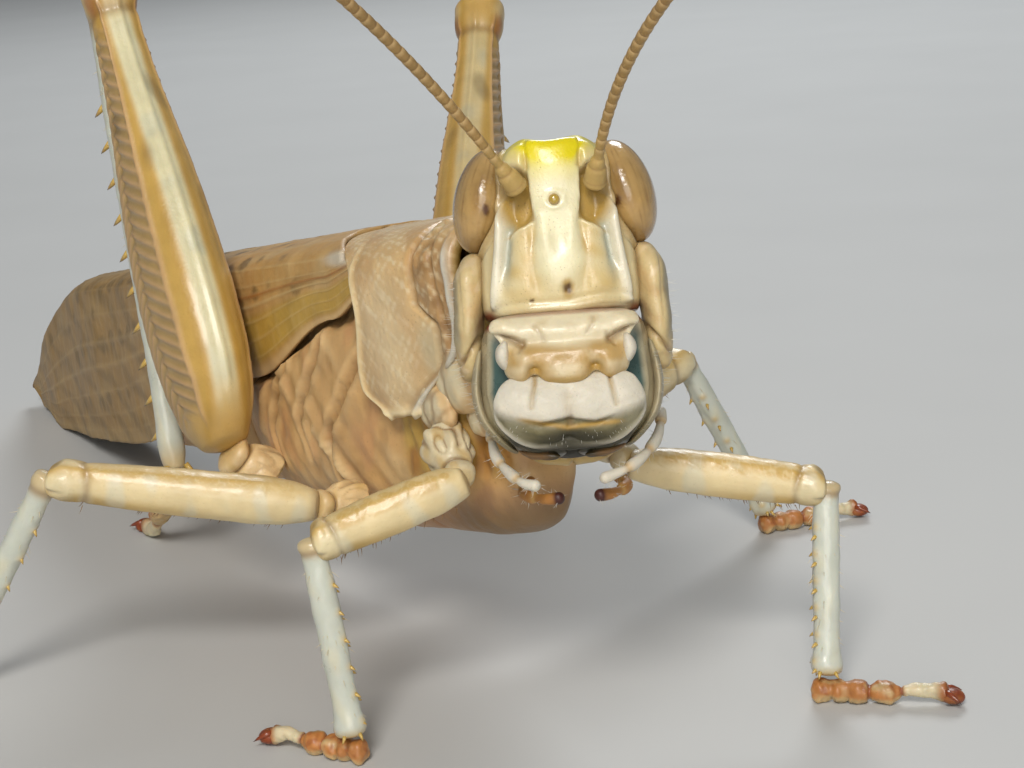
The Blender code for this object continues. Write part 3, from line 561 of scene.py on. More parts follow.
def make_head_shell():
    """The head capsule: front ridge, side keels, feeler hollows, face plates, lower rim and crown."""
    shell = grown_shell("head_shell", "z", down_rows(CAPSULE, 30, 0.25, 0.1), 56, 2.7, 2)
    p, n = points_of(shell), normals_of(shell)
    p[:, 0] *= 1.0 - 0.37 * soft(p[:, 1], -0.8, 2.2)
    x, z, wide = p[:, 0], p[:, 2], np.abs(p[:, 0])
    face = soft(-n[:, 1], 0.35, 0.75)
    from_costa = np.abs(x - COSTA_MIDDLE)
    half = curve_through(COSTA_HALF, z)[:, 0]
    blur = 0.07 + 0.3 * fade(z, 0.4, 1.9)
    costa = fade(from_costa, half - blur, half + blur) * soft(z, -0.75, 0.7) * face
    hollow = blot(wide, z, (1.36, 3.1), (0.62, 1.02), 0.28) * (1.0 - costa) * face
    plate_top = 2.18 - 0.5 * soft(wide, 1.2, 1.72) + 0.06 * np.sin(wide * 9.0)
    hollow *= soft(z, plate_top - 0.08, plate_top + 0.1)
    keel_gap = from_path(wide, z, SIDE_KEEL)
    keel_x = np.interp(z, [h for _, h in SIDE_KEEL[::-1]], [w for w, _ in SIDE_KEEL[::-1]])
    keel = hump(keel_gap, 0.17) * within(z, -0.95, -0.6, 3.0, 3.5) * face
    outside = soft(wide - keel_x, 0.1, 0.3) * face * within(z, -0.9, -0.5, 3.2, 3.8)
    lobe = blot(wide, z, (1.32, 4.5), (0.42, 0.5), 0.5) * face
    lobe_seam = hump(wide - 0.93, 0.09) * within(z, 4.0, 4.2, 4.4, 4.8) * face
    plate = soft(wide, 0.85, 1.1) * fade(wide - keel_x, -0.55, -0.15) * face
    plate *= within(z, -0.6, 0.0, plate_top - 0.12, plate_top)
    plate_lip = hump(z - plate_top + 0.02, 0.1) * within(wide, 0.75, 0.95, 1.6, 1.74) * face
    trough = hump(keel_x - wide - 0.3, 0.17) * within(z, 0.2, 0.9, 2.2, 2.7) * face
    plate_edge = hump(keel_x - wide - 0.47, 0.08) * within(z, 0.5, 1.0, 1.6, 1.9) * face
    rim_gap = from_path(x, z, LOWER_RIM)
    rim = hump(rim_gap, 0.13) * face
    under_rim = soft(-z, 0.95, 1.06) * face
    rise = 0.24 * costa * (1.0 - 0.75 * (np.abs(x) / 1.1) ** 2)
    rise -= 0.09 * hump(from_costa, 0.3) * within(z, 0.7, 1.7, 2.1, 2.75) * face
    beside_dip = from_costa - np.interp(z, (0.8, 2.6), (0.4, 0.6))
    rise += 0.05 * hump(beside_dip, 0.15) * within(z, 0.7, 1.6, 2.3, 2.8) * face
    rise -= 0.5 * hollow
    rise += 0.26 * keel - 0.26 * outside
    rise += 0.1 * plate * (1.0 - ((wide - 1.35) / 0.7) ** 2)
    rise += 0.09 * plate_lip - 0.11 * trough + 0.04 * plate_edge
    rise += 0.2 * lobe - 0.17 * lobe_seam
    rise += 0.07 * rim - 0.35 * under_rim
    rise -= 0.05 * hump(rim_gap - 0.24, 0.12) * face * soft(z, -0.9, -0.6)
    from_ocellus = np.hypot(x - OCELLUS[0], z - OCELLUS[1])
    rise += (0.06 * hump(from_ocellus - 0.3, 0.07) - 0.1 * hump(from_ocellus, 0.2)) * face
    rise -= 0.12 * hump(np.hypot((x - DARK_SPOT[0]) * 1.5, z - DARK_SPOT[1]), 0.17) * face
    rise -= 0.06 * hump(np.hypot(x - SMALL_SPOT[0], z - SMALL_SPOT[1]), 0.07) * face
    rise += 0.02 * ripple(p, 1.1, 3) * face
    for side in (1, -1):
        reach = eye_reach(p, side)
        rise += 0.1 * hump(reach - 1.1, 0.05) - 0.08 * hump(reach - 1.2, 0.05)
        rise -= 0.45 * fade(reach, 0.95, 1.08) * soft(wide, 1.4, 1.8)
    p += n * rise[:, None]
    # the crown dips a little between two low swellings, with a fine middle seam
    crown = soft(p[:, 2], 4.2, 5.2) * soft(-p[:, 1], -0.6, 1.4)
    p[:, 2] -= crown * (0.09 * hump(p[:, 0] + 0.1, 0.5) - 0.1 * hump(np.abs(p[:, 0]) - 1.0, 0.4))
    p[:, 2] -= 0.04 * soft(p[:, 2], 3.0, 4.5) * hump(p[:, 0], 0.06) * soft(p[:, 1], -2.2, -1.4)
    move_points(shell, p)

    coat = coat_of(shell, IVORY)
    back = soft(p[:, 1], -2.6, -1.2)
    lay(coat, back * 0.8, CHEEK_CREAM)
    lay(coat, 0.55 * cloud(p, 1.6, 5, 0.2, 0.9) * back, UNDER_EYE_TAN)
    lay(coat, blot(wide, z, (1.3, 0.85), (0.75, 1.35), 0.7) * face * (0.62 + 0.5 * ripple(p, 1.1, 9)),
        FACE_OCHRE)
    lay(coat, 0.55 * blot(x, z, (0.1, 0.0), (1.3, 0.8), 0.8) * face, 0.5 * (FACE_OCHRE + IVORY))
    lay(coat, 0.5 * hump(wide - 0.95, 0.1) * within(z, 0.2, 0.8, 1.5, 2.0) * face, LIP_OCHRE)
    lay(coat, 0.7 * trough, BLUE_BLOOM)
    lay(coat, 0.45 * hump(keel_x - wide - 0.36, 0.28) * within(z, -0.3, 0.6, 1.8, 2.4) * face, BLUE_BLOOM)
    lay(coat, costa * 0.9, COSTA_WHITE)
    lay(coat, keel * 1.3, CARINA_WHITE)
    lay(coat, outside * 0.95, UNDER_EYE_TAN)
    lay(coat, hollow * 1.2, HOLLOW_TAN)
    lay(coat, 0.8 * plate_lip, IVORY)
    lay(coat, 0.7 * hump(z - plate_top - 0.09, 0.06) * soft(wide, 0.75, 0.9) * face
        * fade(wide, 1.7, 1.9), HOLLOW_TAN)
    start = 3.75 + 0.72 * soft(wide, 0.6, 1.3)
    yellow = 0.35 * soft(z, start - 0.35, start + 0.4) + 0.65 * soft(z, start + 0.2, start + 0.95)
    yellow *= fade(p[:, 1], -2.4, -0.4)
    lay(coat, 1.15 * yellow + 0.1 * yellow * ripple(p, 0.9, 12), CROWN_YELLOW)
    lay(coat, 0.6 * lobe_seam, HOLLOW_TAN)
    lay(coat, 0.9 * hump(rim_gap - 0.2, 0.09) * soft(-z, 0.8, 0.95) * face, 0.5 * (SEAM_RED + SEAM_AND_SHADE_BROWN))
    lay(coat, 0.35 * rim, UNDER_EYE_TAN)
    lay(coat, 0.95 * blot(wide, z, CORNER, (0.3, 0.25), 0.6), SEAM_RED)
    from_spot = np.hypot((x - DARK_SPOT[0]) * 1.6, z - DARK_SPOT[1])
    lay(coat, 0.85 * fade(from_spot, 0.2, 0.5) * face, LIP_OCHRE)
    lay(coat, fade(from_spot, 0.13, 0.26) * face, PIT_BROWN)
    lay(coat, fade(np.hypot(x - SMALL_SPOT[0], z - SMALL_SPOT[1]), 0.04, 0.09) * face, PIT_BROWN)
    for side in (1, -1):
        reach = eye_reach(p, side)
        lay(coat, 0.9 * hump(reach - 1.12, 0.1), UNDER_EYE_TAN)
        lay(coat, 0.7 * hump(reach - 1.04, 0.03), SEAM_AND_SHADE_BROWN)
    finish_piece(shell, FACE_SHELL, coat, HEAD, ("head",))


def make_eyes():
    """The large leaning eyes, with broken upright stripes and one dark spot each."""
    for side, name in SIDES:
        ball = round_ball("eyeball_" + name, 96, 64)
        p = points_of(ball)
        # a little flatter in front and behind than a true oval
        p *= np.array(EYE_RADII) * (1.0 + 0.02 * (1.0 - np.abs(p[:, 2:3])))
        lean = np.array(Matrix.Rotation(math.radians(-side * EYE_LEAN), 3, "Y"))
        coat = coat_of(ball, EYE_TAN)
        around = np.arctan2(p[:, 1] / EYE_RADII.y, p[:, 0] / EYE_RADII.x * side)
        tall = p[:, 2] / EYE_RADII.z
        stripes = np.sin(around * 26.0 + 1.3 * ripple(p, 2.2, 21)) + 0.8 * np.sin(around * 61.0 + 2.0 * tall)
        broken = np.clip(0.45 + 0.8 * ripple(p * np.array((1.6, 1.6, 0.6)), 1.0, 22), 0.0, 1.0)
        broken *= 1.0 - 0.8 * soft(np.abs(tall), 0.6, 0.95)
        lay(coat, 0.6 * soft(stripes, 0.1, 1.4) * broken, EYE_STRIPE)
        lay(coat, 0.55 * cloud(p * np.array((1.0, 1.0, 0.7)), 1.6, 23, 0.0, 1.0), EYE_STRIPE)
        lay(coat, 0.4 * cloud(p, 1.9, 24, 0.2, 1.1), UNDER_EYE_TAN)
        lay(coat, 0.6 * soft(-tall - 0.2 * np.cos(around), 0.55, 0.95), EYE_STRIPE)
        p = p @ lean.T
        spot_x = EYE_SPOT_X[name] - EYE_CENTRE.x - 0.25
        near = np.hypot((p[:, 0] * side - spot_x) / 0.11, (p[:, 2] + 0.47) / 0.2)
        lay(coat, fade(near, 0.7, 1.3) * (p[:, 1] < 0.0), EYE_SPOT)
        lay(coat, 0.35 * fade(near, 1.3, 2.6) * (p[:, 1] < 0.0), EYE_STRIPE)
        move_points(ball, p + np.array((side * EYE_CENTRE.x, EYE_CENTRE.y, EYE_CENTRE.z)))
        finish_piece(ball, EYE_GLOSS, coat, HEAD, ("eye_" + name,))


def make_ocelli():
    """The small single eyes: one on the front ridge and one inside each large eye."""
    places = ((OCELLUS[0], -3.93, OCELLUS[1], 0.2), (1.62, -3.38, 4.05, 0.16), (-1.62, -3.38, 4.05, 0.16))
    for i, (x, y, z, size) in enumerate(places):
        bead = round_ball("ocellus_%d" % (i + 1), 32, 20)
        p = points_of(bead) * np.array((size, size * 0.65, size))
        coat = coat_of(bead, OCELLUS_AMBER)
        lay(coat, soft(np.hypot(p[:, 0], p[:, 2]) / size, 0.55, 1.0), UNDER_EYE_TAN)
        move_points(bead, p + np.array((x, y, z)))
        finish_piece(bead, OCELLUS_GLOSS, coat, HEAD)


# ---------------------------------------------------------------- mouthparts and cheeks

# height, half width, front, rear
CLYPEUS = [
    (-0.92, 2.25, -3.75, -3.2), (-1.2, 2.5, -4.05, -3.2), (-1.5, 2.58, -4.32, -3.2),
    (-1.9, 2.32, -4.42, -3.2), (-2.3, 2.22, -4.46, -3.2), (-2.8, 2.24, -4.52, -3.2),
    (-3.2, 2.1, -4.46, -3.2), (-3.42, 1.85, -4.2, -3.2),
]
CLYPEUS_NOTCHES = [(-1.16, -3.1), (1.0, -3.08)]
CLYPEUS_BEADS = [((-0.05, -2.98), (0.6, 0.3)), ((-1.62, -2.8), (0.42, 0.4)), ((1.5, -2.75), (0.42, 0.4))]
CLYPEUS_CREASES = [
    [(-1.05, -1.45), (-0.82, -1.78), (-0.75, -2.0)], [(1.05, -1.3), (0.98, -1.55), (0.8, -1.78)],
    [(1.45, -1.85), (1.7, -2.3)], [(-1.45, -1.95), (-1.62, -2.35)],
]
CLYPEUS_FOLD = [(2.9, -1.78), (2.3, -1.76), (1.85, -1.9), (1.5, -2.08)]
LABRUM = [
    (-3.02, 1.7, -3.95, -3.2), (-3.3, 2.2, -4.3, -3.2), (-3.7, 2.52, -4.5, -3.2), (-4.3, 2.7, -4.62, -3.1),
    (-4.8, 2.6, -4.58, -3.1), (-5.2, 2.28, -4.44, -3.0), (-5.6, 1.75, -4.2, -2.9),
    (-5.88, 1.05, -3.95, -2.9),
]
LABRUM_EDGE = [
    (-2.7, -4.3), (-1.9, -4.62), (-1.1, -4.84), (-0.12, -4.7), (0.85, -4.88), (1.6, -4.7), (2.7, -4.3),
]
LABRUM_CREASES = [[(-1.15, -3.1), (-1.2, -3.6), (-1.36, -4.32)], [(1.42, -3.1), (1.5, -3.7), (1.62, -4.38)]]
LABIUM = [
    (-2.1, 1.6, 0.2, 0.8), (-3.2, 2.1, 0.1, 0.95), (-5.2, 2.1, -0.6, 1.0), (-6.2, 1.5, -0.9, 0.8),
    (-6.5, 1.0, -0.9, 0.5),
]
MOUTH_FLOOR = [(-4.9, 1.3, -2.9, -0.6), (-5.6, 1.2, -2.9, -0.7), (-6.2, 0.9, -2.6, -0.8)]
# height, middle x, half width, front, rear
CHEEK = [
    (1.5, 3.05, 0.3, -1.8, -0.5), (0.95, 3.2, 0.52, -2.35, 0.0), (-0.6, 3.38, 0.56, -2.6, 0.2),
    (-2.0, 3.46, 0.5, -2.45, 0.0), (-2.8, 3.44, 0.42, -2.0, -0.3), (-3.2, 3.42, 0.28, -1.6, -0.6),
]
MANDIBLE = [
    (-1.1, 1.55, 1.2, -3.0, -0.1), (-1.6, 1.6, 1.36, -3.3, 0.0), (-2.4, 1.64, 1.42, -3.4, 0.2),
    (-3.7, 1.68, 1.5, -3.4, 0.2), (-4.8, 1.55, 1.44, -3.35, 0.0), (-5.6, 1.12, 1.05, -3.3, -0.5),
    (-6.15, 0.72, 0.62, -3.1, -1.2),
]
MAXILLA_BLADE = [
    (-2.0, 3.05, 0.12, -2.2, -0.5), (-2.8, 3.2, 0.2, -2.7, -0.2), (-3.8, 3.26, 0.22, -2.85, 0.0),
    (-4.7, 3.02, 0.24, -2.85, 0.0), (-5.4, 2.5, 0.24, -2.7, -0.3), (-5.9, 2.0, 0.18, -2.4, -0.8),
]
# place along, half width, half height
MAXILLA_PAD = [(0.0, 0.1, 0.06), (0.15, 0.24, 0.13), (0.8, 0.34, 0.19), (1.5, 0.3, 0.16), (1.9, 0.12, 0.06)]


def make_clypeus():
    """The plate over the upper lip, tan below, with a beaded and notched lower edge."""
    plate = grown_shell("clypeus_shell", "z", down_rows(CLYPEUS, 24, 0.15, 0.12), 48, 2.6, 2)
    p, n = points_of(plate), normals_of(plate)
    x, z, wide = p[:, 0], p[:, 2], np.abs(p[:, 0])
    face = soft(-n[:, 1], 0.1, 0.6)
    fold_deep = hump(from_path(wide, z, CLYPEUS_FOLD), 0.14) * soft(wide, 1.2, 1.75) * face
    tip = blot(wide, z, (2.35, -1.42), (0.45, 0.26), 0.6) * face
    bulge = fade(wide, 1.35, 2.15) * soft(-z, 1.95, 2.5) * face
    notch = sum(hump(np.hypot((x - a) * 1.1, z - b), 0.27) for a, b in CLYPEUS_NOTCHES) * face
    bead = sum(blot(x, z, centre, size, 0.7) for centre, size in CLYPEUS_BEADS) * face
    crease = sum(hump(from_path(x, z, path), 0.07) for path in CLYPEUS_CREASES) * face
    band = hump(z + 2.02, 0.2) * fade(wide, 1.2, 1.7) * face
    rise = -0.3 * fold_deep + 0.14 * tip + 0.17 * bulge
    rise += 0.09 * bead - 0.36 * notch - 0.06 * crease - 0.1 * band
    rise += 0.06 * blot(x, z, (0.0, -1.45), (2.0, 0.45), 0.8) * face + 0.025 * ripple(p, 0.9, 31) * face
    p += n * rise[:, None]
    # the lower edge waves: drawn up at the two notches
    edge = soft(-z, 2.7, 3.3)
    p[:, 2] += edge * (0.22 * sum(hump(x - a, 0.3) for a, _ in CLYPEUS_NOTCHES) - 0.08 * hump(x, 0.4))
    move_points(plate, p)
    coat = coat_of(plate, CLYPEUS_CREAM)
    tan = soft(-z - 0.1 * np.cos(x * 2.2), 1.9, 2.4) * (1.0 - 0.25 * soft(wide, 1.8, 2.2)) * face
    lay(coat, 0.95 * tan, CLYPEUS_TAN)
    lay(coat, 0.35 * tan * cloud(p, 0.8, 33, 0.0, 0.9), CLYPEUS_CREAM)
    lay(coat, 0.55 * bead * soft(-z, 2.7, 3.0), CLYPEUS_CREAM)
    lay(coat, 0.85 * notch, LIP_OCHRE)
    # painted shade: the folds and creases darkened brown
    lay(coat, 0.65 * fold_deep + 0.3 * crease, SEAM_AND_SHADE_BROWN)
    lay(coat, 0.3 * blot(x, z, (0.0, -1.35), (2.3, 0.3), 0.8) * cloud(p, 0.9, 34, 0.1, 1.0), CLYPEUS_TAN)
    lay(coat, 0.9 * blot(wide, z, (2.72, -1.15), (0.22, 0.2), 0.7), SEAM_RED)
    lay(coat, 0.7 * soft(-z, 3.22, 3.42), LIP_OCHRE)
    lay(coat, 0.6 * soft(z, -1.16, -1.02), SEAM_RED)
    finish_piece(plate, CLYPEUS_SHELL, coat, HEAD, ("clypeus",))
    for side, name in SIDES:
        knob = round_ball("clypeus_knob_" + name, 40, 28)
        p = points_of(knob) * np.array((0.26, 0.4, 0.52))
        p[:, 0] += side * 0.1 * (1.0 - (p[:, 2] / 0.52) ** 2)
        p += normals_of(knob) * (0.02 * ripple(p, 0.6, 30))[:, None]
        coat = coat_of(knob, LIP_WHITE)
        lay(coat, 0.5 * soft(-side * p[:, 0], 0.0, 0.2), CLYPEUS_TAN)
        move_points(knob, p + np.array((side * 2.13, -3.98, -2.4)))
        finish_piece(knob, LIP_SHELL, coat, HEAD)


def make_labrum():
    """The upper lip: two white lobes over a dark wet lower border."""
    lip = grown_shell("labrum_shell", "z", down_rows(LABRUM, 24, 0.2, 0.2), 44, 2.6, 2)
    p, n = points_of(lip), normals_of(lip)
    x, z, wide = p[:, 0], p[:, 2], np.abs(p[:, 0])
    face = soft(-n[:, 1], 0.1, 0.6)
    crease = sum(hump(from_path(x, z, path), 0.065) for path in LABRUM_CREASES) * face
    fine = hump(ripple(p * np.array((1.6, 1.0, 0.7)), 1.1, 39), 0.12) * face
    cleft = hump(x + 0.05, 0.09) * within(-z, 4.2, 4.75, 4.95, 5.15) * face
    edge_line = np.interp(x, *zip(*LABRUM_EDGE))
    blur = 0.14 + 0.3 * soft(wide, 1.0, 2.2)
    below = soft(edge_line - z, -0.03 - 0.6 * (blur - 0.14), blur) * face
    groove = hump(z - edge_line + 0.1, 0.1) * face * fade(wide, 0.9, 1.8)
    notch = hump(x + 0.1, 0.2 + 0.25 * np.clip(-z - 5.2, 0, 1)) * soft(-z, 5.3, 5.7) * face
    lobes = blot(np.abs(x + 0.05), z, (0.72, -4.35), (0.72, 0.6), 0.9) * face
    sides = blot(wide, z, (2.05, -3.9), (0.62, 0.85), 0.9) * face
    middle = hump(x + 0.05, 0.12) * within(-z, 3.5, 4.1, 4.3, 4.6) * face
    rise = -0.17 * crease - 0.18 * cleft - 0.14 * below - 0.12 * groove + 0.11 * lobes + 0.12 * sides
    rise -= 0.05 * middle + 0.012 * fine
    rise += 0.1 * hump(z - edge_line + 0.42, 0.2) * face * fade(wide, 1.2, 2.2)
    rise += 0.015 * ripple(p, 0.6, 35) * face - 0.05 * hump(np.hypot(x - 0.1, z + 3.9), 0.3) * face
    p += n * rise[:, None]
    p[:, 2] += 0.22 * notch
    move_points(lip, p)
    coat = coat_of(lip, LIP_WHITE)
    lay(coat, 0.95 * below, LIP_OLIVE)
    lay(coat, 0.9 * below * soft(-z - 0.28 * wide, 4.75, 5.35), LIP_DARK)
    ochre_line = np.interp(x, (-1.95, -0.12, 1.4), (-4.66, -5.06, -4.98))
    lay(coat, 0.8 * hump(z - ochre_line, 0.09) * face * fade(wide, 1.5, 2.1), LIP_OCHRE)
    lay(coat, 0.6 * soft(wide, 1.3, 2.3) * below * cloud(p, 1.2, 38, -0.6, 0.6), LIP_GREY)
    lay(coat, 0.85 * hump(x + 0.1, 0.55) * soft(-z, 5.2, 5.6), LIP_DARK)
    lay(coat, 0.8 * crease * (1.0 - 0.5 * soft(-z, 3.4, 4.3)), LIP_OCHRE * 0.8)
    lay(coat, 0.25 * middle, LIP_OCHRE)
    lay(coat, 0.6 * cleft, SEAM_AND_SHADE_BROWN)
    lay(coat, 0.7 * soft(z, -3.3, -3.12), LIP_OCHRE)
    lay(coat, soft(-z, 5.6, 5.85), LIP_DARK)
    finish_piece(lip, LIP_SHELL, coat, HEAD, ("labrum",))


def make_cheeks():
    """The cheek plates below the eyes, each with a slanting cut."""
    for side, name in SIDES:
        rows = down_rows(CHEEK, 22, 0.25, 0.2, side)
        plate = grown_shell("cheek_shell_" + name, "z", rows, 24, 2.3, 2)
        p, n = points_of(plate), normals_of(plate)
        wide, z = np.abs(p[:, 0]), p[:, 2]
        front = soft(-n[:, 1], -0.2, 0.5)
        cut = from_path(wide, z, [(2.75, -1.35), (3.05, -1.75), (3.5, -2.25), (4.1, -2.75)])
        outer_line = hump(wide - 3.62, 0.06) * soft(z, -1.6, -1.2) * front
        rise = -0.17 * hump(cut, 0.09) * front + 0.04 * ripple(p, 1.2, 41) - 0.04 * outer_line
        rise += 0.05 * blot(wide, z, (3.2, 0.4), (0.4, 0.9), 0.8) * front
        p += n * rise[:, None]
        move_points(plate, p)
        coat = coat_of(plate, CHEEK_CREAM)
        lay(coat, 0.4 * cloud(p, 1.1, 42, 0.1, 0.9), CHEEK_TAN)
        lay(coat, 0.4 * cloud(p, 0.7, 43, 0.2, 0.9), CHEEK_PALE)
        # painted shade: the outer edge darkened blue-grey
        lay(coat, 0.8 * soft(wide, 3.6, 3.85) * soft(z, -2.4, -1.4), CHEEK_GREY)
        lay(coat, 0.55 * hump(cut, 0.09) * front, SEAM_AND_SHADE_BROWN)
        lay(coat, 0.5 * fade(wide, 2.8, 3.0) * front, SEAM_AND_SHADE_BROWN)
        lay(coat, 0.7 * soft(-z, 2.85, 3.15), UNDER_EYE_TAN)
        finish_piece(plate, CHEEK_SHELL, coat, HEAD, ("cheek_" + name,))


def make_jaws():
    """The jaws beside the lip: a teal face inside a cream ridge, and a dark lower front, partly the dark
    cutting edges and partly painted shade under the lip.
    """
    for side, name in SIDES:
        rows = down_rows(MANDIBLE, 26, 0.2, 0.25, side)
        jaw = grown_shell("mandible_shell_" + name, "z", rows, 36, 2.5, 2)
        p, n = points_of(jaw), normals_of(jaw)
        wide, z = np.abs(p[:, 0]), p[:, 2]
        front = soft(-n[:, 1], -0.3, 0.4)
        edge = np.interp(-z, (1.4, 2.4, 3.7, 4.8, 5.6), (2.66, 2.76, 2.82, 2.62, 1.95))
        ridge = hump(wide - edge, 0.08) * front
        rise = 0.07 * ridge - 0.1 * blot(wide, z, (2.45, -2.9), (0.3, 1.3), 0.6) * front
        p += n * rise[:, None]
        move_points(jaw, p)
        coat = coat_of(jaw, JAW_CREAM)
        lay(coat, 0.95 * fade(wide - edge, -0.18, 0.02) * soft(-z, 1.6, 2.0), JAW_TEAL)
        lay(coat, 0.75 * fade(wide - edge, -0.4, 0.1) * fade(-z, 1.7, 2.6), BLUE_BLOOM)
        # the lower front darkened: partly the dark cutting edges, partly painted shade under the lip
        lay(coat, 0.6 * soft(-z, 4.0, 4.9), LIP_OLIVE)
        lay(coat, 0.95 * soft(-z - 0.3 * wide, 4.3, 4.9), LIP_DARK)
        lay(coat, 0.7 * hump(wide - edge - 0.33, 0.05) * front, SEAM_AND_SHADE_BROWN)
        lay(coat, 0.9 * blot(wide, z, (2.62, -1.25), (0.3, 0.2), 0.6), SEAM_RED)
        finish_piece(jaw, JAW_SHELL, coat, HEAD, ("mandible_" + name,))


def make_jaw_covers():
    """The pale blade of each maxilla, a thin strip outside the jaw, and its brown pad below."""
    for side, name in SIDES:
        rows = down_rows(MAXILLA_BLADE, 20, 0.2, 0.2, side)
        blade = grown_shell("maxilla_blade_" + name, "z", rows, 16, 2.2, 2)
        p = points_of(blade)
        coat = coat_of(blade, JAW_CREAM)
        lay(coat, 0.5 * cloud(p, 0.8, 47, 0.0, 0.9), CHEEK_GREY)
        lay(coat, 0.6 * soft(-p[:, 2], 4.6, 5.6), LIP_OLIVE)
        finish_piece(blade, CHEEK_SHELL, coat, HEAD)
        pad = grown_shell("maxilla_pad_" + name, "x", rod_rows(MAXILLA_PAD), 20, 2.0, 2)
        path = bow((side * 1.85, -2.1, -5.72), (side * 1.3, -3.05, -6.08), (side * 0.2, -3.25, -6.08))
        q = lay_along(points_of(pad), path)
        q += normals_of(pad) * (0.03 * ripple(q, 0.6, 49))[:, None]
        move_points(pad, q)
        coat = coat_of(pad, PAD_BROWN)
        # painted shade: the pads darkened towards the middle under the lip
        lay(coat, 0.9 * soft(-np.abs(q[:, 0]), -1.2, -0.6), LIP_DARK)
        finish_piece(pad, CHEEK_SHELL, coat, HEAD)


def make_labium():
    """The lower lip behind the jaws, and the floor of the mouth, painted near black as the shade under the
    head.
    """
    plate = grown_shell("labium_shell", "z", down_rows(LABIUM, 16, 0.3, 0.3), 28, 2.4, 2)
    p, n = points_of(plate), normals_of(plate)
    split = hump(p[:, 0], 0.09) * soft(-p[:, 2], 4.2, 5.2)
    p += n * (-0.14 * split + 0.03 * ripple(p, 0.9, 48))[:, None]
    move_points(plate, p)
    coat = coat_of(plate, CHEEK_CREAM)
    lay(coat, 0.6 * split, SEAM_AND_SHADE_BROWN)
    lay(coat, 0.6 * soft(-p[:, 2], 5.6, 6.3), SPINE_YELLOW)
    finish_piece(plate, CHEEK_SHELL, coat, HEAD, ("labium",))
    # painted shade: the floor of the mouth in near black
    mouth_floor_shade = grown_shell("mouth_floor_shade", "z", down_rows(MOUTH_FLOOR, 8, 0.2, 0.3), 24, 2.2, 1)
    finish_piece(mouth_floor_shade, LIP_SHELL, coat_of(mouth_floor_shade, LIP_DARK * 0.5), HEAD)


PALPS = {
    "maxillary_palp_right":
        ((-2.95, 0.1, -4.9), (-2.75, -1.1, -6.0), (-2.0, -2.4, -6.85), (-1.3, -2.9, -7.1)),
    "maxillary_palp_left": ((3.45, -0.2, -4.6), (3.1, -1.3, -5.7), (2.15, -2.6, -6.55), (0.95, -3.1, -7.0)),
    "labial_palp_right": ((-1.5, 0.7, -6.9), (-1.9, -0.5, -7.35), (-1.2, -1.5, -7.6), (-0.45, -1.9, -7.6)),
    "labial_palp_left": ((1.5, 0.7, -6.9), (1.95, -0.6, -7.3), (1.4, -1.6, -7.55), (0.75, -2.0, -7.6)),
}


def palp_path(corners):
    """A mouth feeler's middle line, in 40 points."""
    return curve_through([(i / 3.0, *c) for i, c in enumerate(corners)], np.linspace(0, 1, 40))


def make_palps():
    """The jointed feelers of the mouth: white ones in front, brown ones with dark tips behind."""
    for name, corners in PALPS.items():
        front = name.startswith("maxillary")
        joints = (0.0, 0.16, 0.5, 0.78, 1.0) if front else (0.0, 0.3, 0.66, 1.0)
        run = palp_path(corners)
        length = path_length(run)
        rows = []
        for a, b in zip(joints, joints[1:]):
            last = b == joints[-1]
            for share, size in ((0.04, 0.66), (0.3, 0.84), (0.75, 1.04), (0.93, 0.96), (0.99, 0.66)):
                width = (0.23 if front else 0.25) * size * (0.92 if last and share < 0.9 else 1.0)
                rows.append((length * (a + (b - a) * share), width))
        rows.append((length * 1.01, 0.1))
        rod = grown_shell(name + "_rod", "x", rod_rows(rows), 16, 2.0, 1)
        p = points_of(rod)
        along = p[:, 0] / length
        coat = coat_of(rod, LIP_WHITE if front else PALP_BROWN)
        for joint in joints[1:-1]:
            lay(coat, 0.7 * hump(along - joint, 0.03), CLYPEUS_TAN)
        if not front:
            lay(coat, soft(along, 0.88, 0.93), EYE_SPOT)
        move_points(rod, lay_along(p, run, (0.3, -0.5, 1.0)))
        finish_piece(rod, LIP_SHELL if front else FEELER_SHELL, coat, HEAD,
                     (name,))


FEELERS = {
    "left": ((1.5, -3.95, 3.75), (2.2, -8.4, 7.6), (5.4, -15.6, 9.2)),
    "right": ((-1.5, -3.95, 3.75), (-4.5, -8.2, 7.9), (-8.0, -15.4, 10.1)),
}
FEELER_JOINTS = 27
FEELER_ROOT = [
    # place along, half width: the base, the second joint and the first ring
    (-0.5, 0.38), (-0.36, 0.46), (-0.22, 0.44), (-0.16, 0.4), (0.1, 0.4), (0.34, 0.37), (0.42, 0.29),
    (0.48, 0.29), (0.7, 0.27), (0.78, 0.21),
]
FEELER_RINGS_FROM = 0.82


